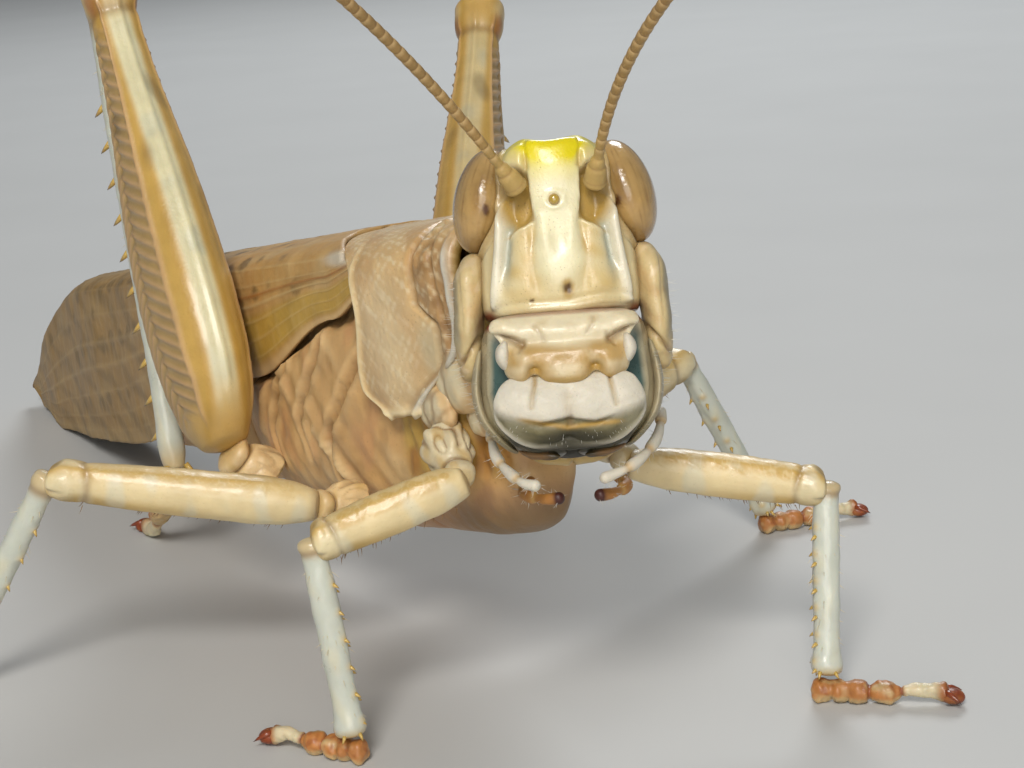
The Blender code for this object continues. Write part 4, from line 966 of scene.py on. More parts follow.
def make_feelers():
    """The two ringed feelers, thick at the root and bowed forwards."""
    for name, corners in FEELERS.items():
        start, control, end = (np.array(c) for c in corners)
        run = bow(start, control, end, 60)
        length = path_length(run)
        rows = list(FEELER_ROOT)
        step = (length - FEELER_RINGS_FROM) / FEELER_JOINTS
        for i in range(FEELER_JOINTS):
            at = FEELER_RINGS_FROM + step * i
            thick = 0.185 + 0.02 * math.sin(math.pi * (i + 1) / FEELER_JOINTS) - 0.03 * (i > 23)
            rows += [(at + 0.02, thick * 0.92), (at + step * 0.3, thick), (at + step * 0.82, thick * 1.04),
                     (at + step * 0.97, thick * 0.9)]
        rows.append((length, 0.06))
        rod = grown_shell("feeler_" + name, "x", rod_rows(rows), 14, 2.0, 1)
        p = points_of(rod)
        x = p[:, 0]
        coat = coat_of(rod, FEELER_TAN)
        lay(coat, fade(x, 0.4, 2.6), FEELER_BASE)
        phase = np.mod((x - FEELER_RINGS_FROM) / step, 1.0)
        lay(coat, 0.35 * soft(phase, 0.55, 0.9) * soft(x, 0.8, 0.9), FLANK_PALE)
        lay(coat, 0.35 * fade(phase, 0.03, 0.2) * soft(x, 0.8, 0.9), SEAM_AND_SHADE_BROWN)
        lay(coat, 0.4 * hump(x - 0.45, 0.05) + 0.4 * hump(x + 0.19, 0.05), SEAM_AND_SHADE_BROWN)
        lay(coat, 0.35 * soft(x, length * 0.5, length), SEAM_AND_SHADE_BROWN)
        move_points(rod, lay_along(p, run))
        finish_piece(rod, FEELER_SHELL, coat, HEAD, ("antenna_" + name,))


def make_hairs():
    """Short white bristles on the lower head, each a fine cone, joined into one piece."""
    draw = np.random.default_rng(71)
    spots = []
    for side in (1, -1):
        # the outer edge of each cheek and jaw cover
        for _ in range(46):
            z = draw.uniform(-4.6, 0.6)
            wide = np.interp(-z, (-0.6, 0.6, 2.0, 2.8, 3.6, 4.6), (3.68, 3.88, 3.9, 3.78, 3.42, 3.2))
            spots.append(((side * (wide + draw.uniform(-0.1, 0.02)), draw.uniform(-2.0, -0.9), z),
                          (side * 1.0, -0.5, draw.uniform(-0.5, 0.1)), draw.uniform(0.3, 0.65)))
        for _ in range(26):
            z = draw.uniform(-5.6, -2.4)
            wide = np.interp(-z, (2.4, 3.8, 4.7, 5.6), (3.1, 3.3, 3.05, 2.3))
            spots.append(((side * wide, draw.uniform(-2.8, -2.2), z),
                          (side * 0.6, -0.9, draw.uniform(-0.6, 0.0)), draw.uniform(0.2, 0.45)))
    # the lower border of the upper lip
    for _ in range(34):
        wide = draw.uniform(-2.2, 2.2)
        z = -5.75 + 0.3 * (wide / 1.6) ** 2 + draw.uniform(0.0, 0.5)
        spots.append(((wide, -4.0 - 0.4 * soft(z, -5.7, -5.0), z), (wide * 0.2, -0.7, -0.8),
                      draw.uniform(0.08, 0.2)))
    # the finger-like palps
    for corners in PALPS.values():
        run = palp_path(corners)
        for _ in range(34):
            at = int(draw.integers(9, 39))
            around = draw.uniform(0, 2 * math.pi)
            way = np.array((math.cos(around), 0.6 * math.sin(around), math.sin(around)))
            spots.append((tuple(run[at] + way * 0.17), tuple(way * 0.9 + np.array((0, -0.2, -0.35))),
                          draw.uniform(0.18, 0.42)))
    bases, ways, lengths = zip(*spots)
    tuft, _ = spikes("head_hairs", bases, ways, lengths, [0.011] * len(spots), 0.12, 3)
    coat = coat_of(tuft, BRISTLE_WHITE)
    roots = np.array(bases)
    bake_chart(tuft, np.stack((0.5 + np.arctan2(roots[:, 0], -roots[:, 1] - 1.5) / (2 * math.pi),
                               0.5 + roots[:, 2] / 18.0), axis=1))
    finish_piece(tuft, HAIR_HORN, coat, HEAD)


# ---------------------------------------------------------------- trunk

PRONOTUM_FRONT = -10.8
PRONOTUM_LOBE_DEPTH = 7.5
PRONOTUM_FRONT_HALF = 3.3
PRONOTUM_REAR_HALF = 4.15
SADDLE_ROOF = 0.42          # the share of each side's width that arches over the back
SADDLE_SHOULDER = 2.2
# depth below the back, place along
MAIN_GROOVE = ((0.0, -7.4), (0.6, -8.0), (3.1, -7.9), (3.9, -9.0), (6.2, -8.6), (7.5, -8.4))
SECOND_GROOVE = ((0.0, -8.7), (1.0, -9.2), (3.5, -9.5), (5.0, -9.6), (6.0, -9.2))
WING_ROOT = -3.4
WING_TIP = 52.2
WING_MIDDLE_GAP = 0.13
WING_SHOULDER = 0.34        # the share of the fore wing's width that lies on the back
WING_DROOP_FROM = 34.5
WING_DROOP = 0.0195
HIND_WING_START = 1.5
HIND_WING_END = 48.5
HIND_WING_DEPTH = ((HIND_WING_START, 0.2), (16.0, 0.3), (40.0, 0.5), (HIND_WING_END, 0.42))
WING_LOWER_EDGE = ((WING_ROOT, -2.6), (0.0, -3.5), (9.0, -5.8), (20.0, -8.6), (30.0, -9.4), (38.0, -9.3),
                   (45.0, -8.9), (50.0, -7.7), (WING_TIP, -6.4))
WING_HALF = ((WING_ROOT, 3.5), (6.0, 3.6), (20.0, 3.3), (32.0, 2.6), (44.0, 1.75), (WING_TIP, 0.95))


def eased(value, table):
    """Reads a curve given by a few (place, value) pairs, eased between them, as the solids do."""
    out = np.full(np.shape(value), float(table[-1][1]))
    for (a, va), (b, vb) in reversed(list(zip(table, table[1:]))):
        out = np.where(value <= b, va + (vb - va) * soft(value, a, b), out)
    return out


def saddle_point(y, across, grow):
    """The saddle's section: across runs from -1 to 1, over the back and down to both lower edges."""
    front = fade(y, PRONOTUM_FRONT, -4.0)
    half = PRONOTUM_REAR_HALF + (PRONOTUM_FRONT_HALF - PRONOTUM_REAR_HALF) * front
    away = np.abs(across)
    angle = np.minimum(away / SADDLE_ROOF, 1.0) * 0.5 * math.pi
    lobe = np.maximum(away - SADDLE_ROOF, 0.0) / (1.0 - SADDLE_ROOF)
    depth = PRONOTUM_LOBE_DEPTH - 0.5 * front
    x = (half + grow) * np.sin(angle) ** 0.8 - 0.35 * lobe * lobe
    z = (SADDLE_SHOULDER + grow) * np.maximum(np.cos(angle), 0.0) ** 0.75 - SADDLE_SHOULDER
    z -= (depth - SADDLE_SHOULDER) * lobe
    return np.sign(across) * x, z


def saddle_front(away):
    """The front edge, its lower corner cut back in a round slope."""
    return PRONOTUM_FRONT + 0.2 * away + 1.5 * soft(away, 0.6, 0.9) + 2.4 * soft(away, 0.76, 1.0)


def saddle_rear(away):
    """The rear edge, nearly upright down the lobe with a round lower corner."""
    return -3.7 * soft(away, 0.02, 0.4) + 1.0 * soft(away, 0.5, 0.85) - 1.7 * soft(away, 0.86, 1.0)


def make_pronotum():
    """The saddle behind the head, pitted and pale rimmed, with two grooves down its flanks."""
    def shape(u, v):
        across = 2.0 * u - 1.0
        away = np.abs(across)
        y = saddle_front(away) + (saddle_rear(away) - saddle_front(away)) * v
        x, z = saddle_point(y, across, -0.06)
        return np.stack((x, y, z), axis=1)

    saddle = woven_plate("saddle_shell", 200, 84, 0.45, shape)
    p, n = points_of(saddle), normals_of(saddle)
    x, y, z = p.T
    side = soft(np.abs(x), 2.4, 3.2)
    outside = soft(n[:, 0] * np.sign(x) * side + n[:, 2] * (1.0 - side), 0.0, 0.4)
    lobe = (-z - SADDLE_SHOULDER) / (PRONOTUM_LOBE_DEPTH - SADDLE_SHOULDER)
    roof_away, lobe_away = np.abs(x) / 4.2 * SADDLE_ROOF, SADDLE_ROOF + lobe * (1.0 - SADDLE_ROOF)
    away = np.clip(np.where(z > -2.0, roof_away, lobe_away), 0.0, 1.0)
    from_front, from_rear = y - saddle_front(away), saddle_rear(away) - y
    low_edge = z + PRONOTUM_LOBE_DEPTH
    main_groove = np.interp(-z, *zip(*MAIN_GROOVE))
    second = np.interp(-z, *zip(*SECOND_GROOVE))
    groove = hump(y - main_groove, 0.16) * outside
    minor = hump(y - second, 0.12) * outside * within(-z, 0.2, 0.8, 4.4, 5.6)
    rim_front = hump(from_front - 0.34, 0.26) * outside
    rim_rear = hump(from_rear - 0.2, 0.15) * outside * soft(-z, 0.3, 1.5)
    rim_low = hump(low_edge - 0.22, 0.16) * outside * side
    between = soft(y - second, 0.05, 0.3) * fade(y - main_groove, -0.4, -0.1) * outside
    wrinkle = ripple(p, 1.1, 51) * (0.06 + 0.94 * fade(y - main_groove, -0.3, 0.3))
    keel = hump(x, 0.16) * soft(n[:, 2], 0.2, 0.7) * (1.0 - groove)
    rise = 0.16 * rim_front + 0.12 * rim_rear + 0.14 * rim_low - 0.2 * groove - 0.14 * minor
    rise += 0.05 * wrinkle * outside + 0.1 * between * ripple(p, 0.7, 52) + 0.06 * keel
    plain = outside * (1.0 - rim_low) * (1.0 - rim_rear) * (1.0 - rim_front)
    rise += 0.007 * ripple(p, 0.42, 57) * plain
    rise -= 0.05 * within(from_front, 0.4, 0.7, 0.9, 1.3) * outside
    p += n * rise[:, None]
    move_points(saddle, p)
    coat = coat_of(saddle, SADDLE_SAND)
    fore = fade(y - main_groove, -0.3, 0.1)
    lay(coat, 0.7 * fore * soft(-z, 0.3, 1.2), SADDLE_BROWN)
    lay(coat, 0.7 * cloud(p, 0.5, 53, 0.0, 0.8) * plain, SADDLE_FLECK)
    lay(coat, 0.5 * cloud(p, 1.8, 54, 0.0, 1.0) * plain, SADDLE_OCHRE)
    lay(coat, 0.5 * fore * cloud(p, 0.8, 58, 0.1, 0.8) * soft(-z, 0.3, 1.2), SEAM_AND_SHADE_BROWN)
    inside_rim = hump(from_rear - 0.8, 0.25) * outside + hump(low_edge - 0.9, 0.25) * side
    lay(coat, 0.3 * inside_rim, SADDLE_BROWN)
    lay(coat, 0.6 * blot(y, z, (-8.3, -4.9), (0.7, 1.0), 0.6), SADDLE_GREY)
    lay(coat, 0.6 * groove + 0.5 * minor, SEAM_AND_SHADE_BROWN)
    lay(coat, 1.1 * rim_front * soft(-z, 0.5, 1.5), LIP_WHITE)
    lay(coat, 0.7 * hump(from_front - 0.85, 0.2) * outside * soft(-z, 0.8, 2.0), SADDLE_BROWN)
    lay(coat, 0.9 * rim_rear + 0.9 * rim_low, SADDLE_RIM)
    lay(coat, 0.5 * blot(y, z, (-5.6, -4.6), (1.6, 2.6), 0.8) * outside, SADDLE_PALE)
    lay(coat, 1.0 - outside, SKIN_YELLOW)
    finish_piece(saddle, SADDLE_SHELL, coat, TRUNK, ("pronotum",))


def make_neck():
    """The soft neck, in five folds."""
    rows = []
    for t in np.linspace(0.0, 1.0, 15):
        fold = 0.13 * math.sin(t * 5.0 * 2.0 * math.pi)
        rows.append((-12.2 + 3.0 * t, 0.0, -3.7 - 0.4 * t, 1.7 + 0.9 * t + fold, 2.0 + 1.3 * t + fold))
    skin = grown_shell("neck_skin", "y", rows, 32, 2.3, 1)
    p, n = points_of(skin), normals_of(skin)
    p += n * (0.06 * ripple(p, 0.8, 61))[:, None]
    move_points(skin, p)
    coat = coat_of(skin, SKIN_YELLOW)
    lay(coat, 0.6 * cloud(p, 0.9, 62, 0.1, 0.9), FLANK_PALE)
    finish_piece(skin, SOFT_SKIN, coat, TRUNK, ("neck",))


TRUNK_ROWS = [
    # back, middle height, half width, half height
    (-9.8, -7.3, 1.4, 4.7), (-8.7, -7.2, 2.0, 5.5), (-7.2, -7.15, 2.6, 5.8), (-5.0, -7.15, 3.05, 5.8),
    (-3.2, -7.15, 3.35, 5.75), (-0.6, -7.1, 3.72, 5.8), (3.4, -6.95, 3.97, 5.95), (7.0, -6.8, 3.87, 5.9),
    (10.2, -6.4, 3.5, 5.4), (12.4, -6.2, 2.95, 4.7), (20.0, -6.1, 2.7, 4.15), (29.0, -6.1, 2.1, 3.4),
    (34.0, -6.1, 1.55, 2.4), (37.5, -6.4, 0.8, 1.1),
]
RING_STARTS = [12.2, 16.0, 19.6, 23.1, 26.4, 29.5, 32.3, 34.7]
FIRST_SEAM = [(-2.72, -4.2), (-0.83, -6.06), (1.03, -7.8), (1.65, -8.6), (1.2, -10.4)]
SECOND_SEAM = [(1.2, -4.2), (2.9, -6.24), (3.95, -7.6), (3.6, -9.0)]
THIRD_SEAM = [(4.6, -5.0), (6.4, -6.6), (7.4, -8.0), (7.0, -9.6)]
PALE_RIDGE = [(2.78, -8.04), (1.49, -9.07), (-0.05, -10.53)]
PALE_BUMP = [(8.1, -6.6), (8.7, -8.0)]
CHEST_PLATES = (-3.2, 2.4, 7.6)
BACK_UNDER_WINGS = -1.45
WING_ROOM = 1.28            # how far inside the folded wings the flanks draw in
CERCUS = [(0.0, 0.2), (0.3, 0.3, 0.28), (0.9, 0.26, 0.24), (1.5, 0.1)]


def trunk_skin(name, stations, count, rounds, replaced):
    """A length of the trunk: seams, folds and pale ridges on the chest, and rings on the abdomen."""
    rows = [(y, 0.0, z, half, tall) for y, z, half, tall in stations]
    body = grown_shell(name, "y", rows_along(rows, count, *rounds), 40, 2.6, 1)
    bpy.ops.object.mode_set(mode="EDIT")
    bpy.ops.mesh.select_all(action="SELECT")
    bpy.ops.mesh.subdivide(number_cuts=1, smoothness=0.0)
    let_go()
    # the flanks draw in where the folded wings lie on them
    p = points_of(body)
    x, y, z = p.T
    room = eased(y, WING_HALF) - WING_ROOM
    low = eased(y, WING_LOWER_EDGE)
    under_wing = soft(z - low, -0.5, 0.5) * soft(y, -4.2, -2.6)
    p[:, 0] -= np.sign(x) * np.maximum(np.abs(x) - room, 0.0) * under_wing
    p[:, 2] -= np.maximum(z - BACK_UNDER_WINGS, 0.0) * soft(y, -4.2, -2.8)
    move_points(body, p)
    n = normals_of(body)
    side = soft(np.abs(n[:, 0]), 0.3, 0.7)
    below = soft(-n[:, 2], 0.5, 0.9)
    x, y, z = p.T
    chest = fade(y, 10.8, 12.0)
    first, second, third = (from_path(y, z, seam) for seam in (FIRST_SEAM, SECOND_SEAM, THIRD_SEAM))
    seams = np.clip(hump(first, 0.16) + 0.9 * hump(second, 0.15) + 0.7 * hump(third, 0.18), 0.0, 1.0) * side
    beside = (hump(first - 0.42, 0.22) + hump(second - 0.4, 0.2) + hump(third - 0.4, 0.2)) * side
    ridge = hump(from_path(y, z, PALE_RIDGE), 0.2) * side
    bumped = hump(from_path(y, z, PALE_BUMP), 0.3) * side
    swell = (blot(y, z, (0.4, -8.8), (1.6, 2.2), 0.9) + blot(y, z, (4.6, -8.6), (1.5, 2.4), 0.9)) * side
    under_saddle = soft(-y, 3.6, 4.4) * side
    membrane = under_saddle * soft(-z, 7.0, 8.0) * cloud(p * np.array((1, 1, 0.6)), 1.3, 75, -0.5, 0.5)
    slanted = np.stack((x, y - 0.55 * z, 0.3 * z), axis=1)
    folds = ripple(slanted, 2.0, 71)
    fine = ripple(p * np.array((1.0, 1.0, 0.5)), 0.9, 74)
    rise = -0.28 * seams + 0.1 * np.clip(beside, 0, 1) + 0.18 * ridge + 0.24 * bumped + 0.16 * swell * chest
    high = 1.0 - 0.75 * soft(-z, 9.5, 11.5)
    rise += (0.12 * folds + 0.03 * fine * side) * chest * high
    rise += 0.1 * under_saddle * high * ripple(p * np.array((1, 1.2, 0.5)), 1.0, 76)
    plates = sum(hump(y - edge, 0.14) for edge in CHEST_PLATES) * below * chest
    rise -= 0.18 * plates + 0.12 * hump(x, 0.16) * below * chest * soft(y, -3.0, -2.0)
    ring = np.zeros(len(p))
    for start in RING_STARTS:
        slant = y - start - 0.032 * (z + 6.0)
        ring += 0.22 * hump(slant, 0.12) - 0.1 * np.exp(-np.maximum(slant, 0) / 0.8) * soft(slant, 0.0, 0.3)
    abdomen = soft(y, 11.0, 12.2)
    rise -= ring * abdomen
    rise -= 0.12 * hump(z + 8.4 - 0.02 * y, 0.22) * soft(y, 12.0, 13.0) * side
    p += n * rise[:, None]
    move_points(body, p)
    coat = coat_of(body, FLANK_SAND)
    lay(coat, 0.5 * soft(folds, 0.0, 0.9), FLANK_PALE)
    lay(coat, 0.45 * cloud(p, 1.9, 72, 0.1, 0.9), FLANK_RUST)
    # painted shade: the troughs of the fine wrinkles darkened
    lay(coat, 0.25 * soft(-fine, 0.2, 0.9) * chest * side, FLANK_SEAM_AND_SHADE)
    lay(coat, 0.65 * seams + 0.5 * plates, FLANK_SEAM_AND_SHADE)
    lay(coat, 0.9 * ridge + 0.8 * bumped + 0.3 * beside, FLANK_PALE)
    lay(coat, 0.7 * soft(-z, 10.2, 11.8) * chest, BELLY_PINK)
    # the front underside olive: partly its own colour, partly painted shade under the head
    lay(coat, 0.75 * soft(-z, 10.2, 12.3) * soft(-y, 2.0, 7.0), BELLY_OLIVE)
    skirt = within(-z, 6.5, 7.6, 9.6, 10.8)
    lay(coat, 0.75 * under_saddle * skirt, SKIN_YELLOW)
    lay(coat, 0.6 * membrane * skirt, SEAM_ORANGE)
    lay(coat, 0.5 * np.clip(ring * 5.0, 0, 1) * abdomen, FLANK_SEAM_AND_SHADE)
    lay(coat, 0.4 * cloud(p, 0.9, 73, 0.4, 1.1) * soft(y, 12.0, 13.0), FLANK_SEAM_AND_SHADE)
    finish_piece(body, FLANK_SHELL, coat, TRUNK, replaced)


def make_trunk():
    """The chest and the abdomen in one skin each, and the two short horns at the tail."""
    trunk_skin("chest_skin", TRUNK_ROWS[:10], 66, (0.5, 0.4), ("prothorax", "thorax"))
    tail = [(11.7, -6.2, 2.7, 4.4)] + TRUNK_ROWS[9:]
    trunk_skin("abdomen_skin", tail, 70, (0.4, 0.6),
               ("abdomen_front", "abdomen_middle", "abdomen_rear"))
    for side, name in SIDES:
        horn = grown_shell("cercus_horn_" + name, "x", rod_rows(CERCUS), 14, 2.0, 1)
        path = [(side * 0.5, 37.2, -5.7), (side * 0.6, 38.3, -5.3), (side * 0.6, 39.0, -5.2)]
        move_points(horn, lay_along(points_of(horn), path))
        coat = coat_of(horn, FLANK_SAND)
        finish_piece(horn, FLANK_SHELL, coat, TRUNK, ("cercus_" + name,))


# ---------------------------------------------------------------- wings

def wing_place(y, down, grow):
    """The roof of the folded wings: down runs from 0 at the middle of the back to 1 at the lower edge."""
    top = 0.1 - WING_DROOP * np.maximum(y - WING_DROOP_FROM, 0.0) ** 2
    low = eased(y, WING_LOWER_EDGE)
    flat = eased(y, WING_HALF)
    bend = np.minimum(down / WING_SHOULDER, 1.0) * 0.5 * math.pi
    fall = np.maximum(down - WING_SHOULDER, 0.0) / (1.0 - WING_SHOULDER)
    shoulder = np.minimum(1.25, 0.35 * (top - low))
    x = WING_MIDDLE_GAP + (flat - WING_MIDDLE_GAP + grow) * np.sin(bend) ** 0.9
    x += 0.2 * np.sin(math.pi * np.minimum(fall, 1.0)) * within(y, WING_ROOT, 6.0, 30.0, 50.0)
    z = top - shoulder + (shoulder + grow) * np.maximum(np.cos(bend), 0.0) ** 0.8
    z -= fall * (top - shoulder - low)
    return x, z


def wing_start(down):
    """Where the fore wing comes out from under the saddle."""
    return 0.15 - 2.3 * soft(down, 0.06, 0.3) - 1.45 * soft(down, 0.36, 0.52)


# the fore wing's long veins: how far down each starts at the root and ends at the tip, and its height
LONG_VEINS = [(0.06, 0.03, 0.06), (0.16, 0.1, 0.05), (0.3, 0.27, 0.07), (0.4, 0.42, 0.06), (0.46, 0.56, 0.1),
              (0.52, 0.68, 0.1), (0.62, 0.8, 0.07), (0.74, 0.9, 0.06), (0.86, 0.97, 0.05)]


def vein_line(u, start, end):
    """How far down the wing a long vein lies, u being the share of the wing's length."""
    return start + (end - start) * soft(u, 0.02, 0.9)


def make_wings():
    """The fore wings, leathery and blotched, with their long veins and a fine net between them."""
    for side, name in SIDES:
        kept = {}

        def shape(u, v):
            start = wing_start(v)
            y = start + (WING_TIP - start) * u**0.92
            x, z = wing_place(y, v, -0.04)
            kept["u"], kept["v"] = u, v
            return np.stack((side * x, y, z), axis=1)

        wing = woven_plate("fore_wing_" + name, 230, 90, 0.3, shape)
        # the wall repeats the outside's points, in the same order
        u, v = np.tile(kept["u"], 2), np.tile(kept["v"], 2)
        p, n = points_of(wing), normals_of(wing)
        outside = (np.arange(len(p)) < len(kept["u"])).astype(float)
        x, y, z = p.T
        vein = np.zeros(len(p))
        for start, end, size in LONG_VEINS:
            width = 0.012 if size > 0.08 else 0.008
            vein = np.maximum(vein, 10.0 * size * hump(v - vein_line(u, start, end), width))
        vein = np.clip(vein, 0.0, 1.0)
        cross = 0.5 + 0.5 * np.sin(y * 2.0 * math.pi / 0.75 + 5.0 * v + 1.3 * ripple(p, 2.0, 81))
        net = soft(cross, 0.86, 0.98) * (1.0 - vein)
        rise = (0.06 * vein + 0.012 * net + 0.03 * ripple(p, 1.8, 82)) * outside
        p += n * rise[:, None]
        p[:, 2] += 0.1 * soft(v, 0.8, 1.0)
        move_points(wing, p)
        coat = coat_of(wing, WING_SAND)
        band = within(v, 0.56, 0.64, 0.86, 0.95) * fade(y, 9.0, 16.0)
        lay(coat, 0.45 * cloud(p * np.array((1.0, 0.5, 1.0)), 1.6, 83, 0.1, 0.9), WING_VEIN)
        lay(coat, 0.85 * band, WING_BAND)
        lay(coat, 0.5 * soft(v, 0.9, 0.97), FLANK_PALE)
        blotches = cloud(p * np.array((1.0, 0.8, 0.9)), 1.7, 84, 0.3, 0.8) * fade(v, 0.8, 0.9)
        blotches *= soft(u, 0.02, 0.12) * (1.0 - 0.8 * band)
        lay(coat, 0.7 * blotches, WING_SPOT_AND_SHADE)
        streak = 0.5 + 0.5 * np.sin((y * 0.8 - z * 1.3) * 2.0 * math.pi / 3.2 + ripple(p, 5.0, 85) * 2.0)
        lay(coat, 0.45 * soft(streak, 0.45, 1.0) * soft(y, 18.0, 26.0), WING_SPOT_AND_SHADE)
        lay(coat, 0.6 * soft(y, 14.0, 30.0), WING_OLIVE)
        lay(coat, 0.65 * vein * (1.0 - 0.6 * soft(y, 12.0, 28.0)), WING_VEIN)
        lay(coat, 0.16 * net, WING_VEIN)
        main_vein = hump(v - vein_line(u, 0.46, 0.56), 0.014) * fade(y, 7.0, 14.0)
        lay(coat, 0.85 * main_vein, WING_VEIN_BROWN)
        lay(coat, 0.8 * blot(y, z, (-2.0, -0.9), (1.5, 0.3), 0.6), LIP_WHITE)
        # painted shade: the wing's inner face darkened
        lay(coat, (1.0 - outside) * 0.8, WING_SPOT_AND_SHADE)
        finish_piece(wing, WING_SHELL, coat, TRUNK, ("tegmen_" + name,))


def make_hind_wings():
    """The pleated hind wings, folded away under the fore wings."""
    for side, name in SIDES:

        def shape(u, v):
            y = HIND_WING_START + (HIND_WING_END - HIND_WING_START) * u
            down = WING_SHOULDER + 0.02 + eased(y, HIND_WING_DEPTH) * v
            pleat = 0.09 * np.sin(v * 11.0 * math.pi)
            x, z = wing_place(y, down, -1.0 + pleat)
            return np.stack((side * x, y, z), axis=1)

        wing = woven_plate("hind_wing_film_" + name, 90, 60, 0.12, shape)
        p = points_of(wing)
        coat = coat_of(wing, HIND_WING_CREAM)
        lay(coat, 0.5 * cloud(p, 2.5, 87, 0.1, 0.9), HIND_WING_TAN)
        finish_piece(wing, HIND_WING_FILM, coat, TRUNK, ("hind_wing_" + name,))


# ---------------------------------------------------------------- legs
# Joint places over the floor: root on the trunk, hip, knee, ankle, toe.

LEGS = {
    "fore_right": (
        (-3.2, -9.2, 11.35), (-3.4, -11.6, 10.5), (-9.2, -9.3, 8.6), (-8.9, -10.5, 0.75),
        (-10.9, -6.7, 0.4)),
    "fore_left": (
        (3.2, -9.4, 10.6), (3.4, -11.6, 9.5), (9.8, -16.3, 8.1), (8.25, -17.9, 0.75), (11.9, -21.5, 0.4)),
    "mid_right": (
        (-4.1, -2.6, 7.4), (-5.8, -3.3, 7.8), (-15.4, 2.4, 9.8), (-19.4, 6.8, 0.75), (-23.2, 9.6, 0.4)),
    "mid_left": (
        (4.1, -2.6, 7.4), (5.6, -3.1, 7.8), (15.0, 0.3, 9.1), (18.7, -1.1, 0.75), (23.4, -2.4, 0.4)),
    "hind_right": (
        (-4.5, 5.6, 6.6), (-6.1, 5.6, 7.7), (-4.7, 18.6, 28.7), (-5.8, 13.2, 5.1), (-4.8, 21.4, 0.4)),
    "hind_left": (
        (4.5, 5.8, 6.6), (6.2, 6.0, 7.7), (17.0, 19.9, 24.5), (15.6, 17.4, 1.1), (16.4, 25.6, 0.4)),
}
KNEE_ROOM = -0.12
SHIN_DROP = 0.95
# share of the length, half width, rise above the middle line, drop below it
FORE_FEMUR = ((0.0, 0.55, 0.56, 0.55), (0.1, 0.68, 0.74, 0.72), (0.42, 0.8, 0.9, 0.86),
              (0.72, 0.78, 0.88, 0.82), (0.86, 0.74, 0.84, 0.76), (0.94, 0.8, 0.86, 0.72),
              (1.0, 0.66, 0.62, 0.5))
MID_FEMUR = ((0.0, 0.6, 0.6, 0.6), (0.1, 0.82, 0.88, 0.86), (0.42, 0.92, 0.98, 0.96),
             (0.72, 0.84, 0.92, 0.88), (0.86, 0.78, 0.88, 0.8), (0.94, 0.84, 0.9, 0.76),
             (1.0, 0.68, 0.64, 0.5))
HIND_FEMUR = ((0.0, 0.9, 1.0, 1.0), (0.04, 1.3, 1.9, 1.9), (0.12, 1.7, 2.8, 2.6), (0.24, 1.9, 3.15, 2.95),
              (0.38, 1.85, 3.0, 2.6), (0.52, 1.65, 2.7, 1.9), (0.66, 1.35, 2.2, 1.1), (0.78, 1.15, 1.8, 0.6),
              (0.87, 1.1, 1.7, 0.35), (0.94, 1.2, 1.9, 0.4), (0.985, 1.05, 1.7, 0.4), (1.0, 0.6, 1.1, 0.2))
# the same, in shin radii; the knee end comes apart, because a hind shin has a larger one
SHIN = ((0.07, 0.95, 1.08, 1.0), (0.11, 0.84, 0.92, 0.88), (0.2, 0.9, 0.96, 0.92), (0.6, 0.92, 0.95, 0.94),
        (0.88, 0.94, 0.98, 0.96), (0.96, 1.08, 1.14, 1.08), (1.0, 0.85, 0.95, 0.85))
SHIN_RADIUS = 0.58
# share of the length, half width, half height
FOOT = ((0.0, 0.3, 0.3), (0.03, 0.44, 0.44), (0.09, 0.5, 0.46), (0.13, 0.4, 0.4), (0.19, 0.5, 0.46),
        (0.24, 0.42, 0.41), (0.31, 0.54, 0.46), (0.37, 0.44, 0.4), (0.4, 0.33, 0.32), (0.46, 0.47, 0.44),
        (0.54, 0.46, 0.42), (0.59, 0.3, 0.28), (0.64, 0.25, 0.25), (0.75, 0.27, 0.28),
        (0.85, 0.32, 0.33), (0.9, 0.36, 0.38), (0.93, 0.27, 0.27))
FOOT_MIDDLE = 0.46          # how high a foot's middle line lies over the floor
RAISED_ANKLE = 1.5          # an ankle above this holds its foot's heel clear of the floor
FLOOR_GAP = 0.02
CHEVRON_PITCH = 0.68


def aim(start, end, top):
    """A frame at start with +X towards end and +Z as near to top as it can be."""
    ahead = (end - start).normalized()
    side = top.cross(ahead).normalized()
    up = ahead.cross(side)
    return Matrix.Translation(start * MM) @ Matrix((ahead, side, up)).transposed().to_4x4()


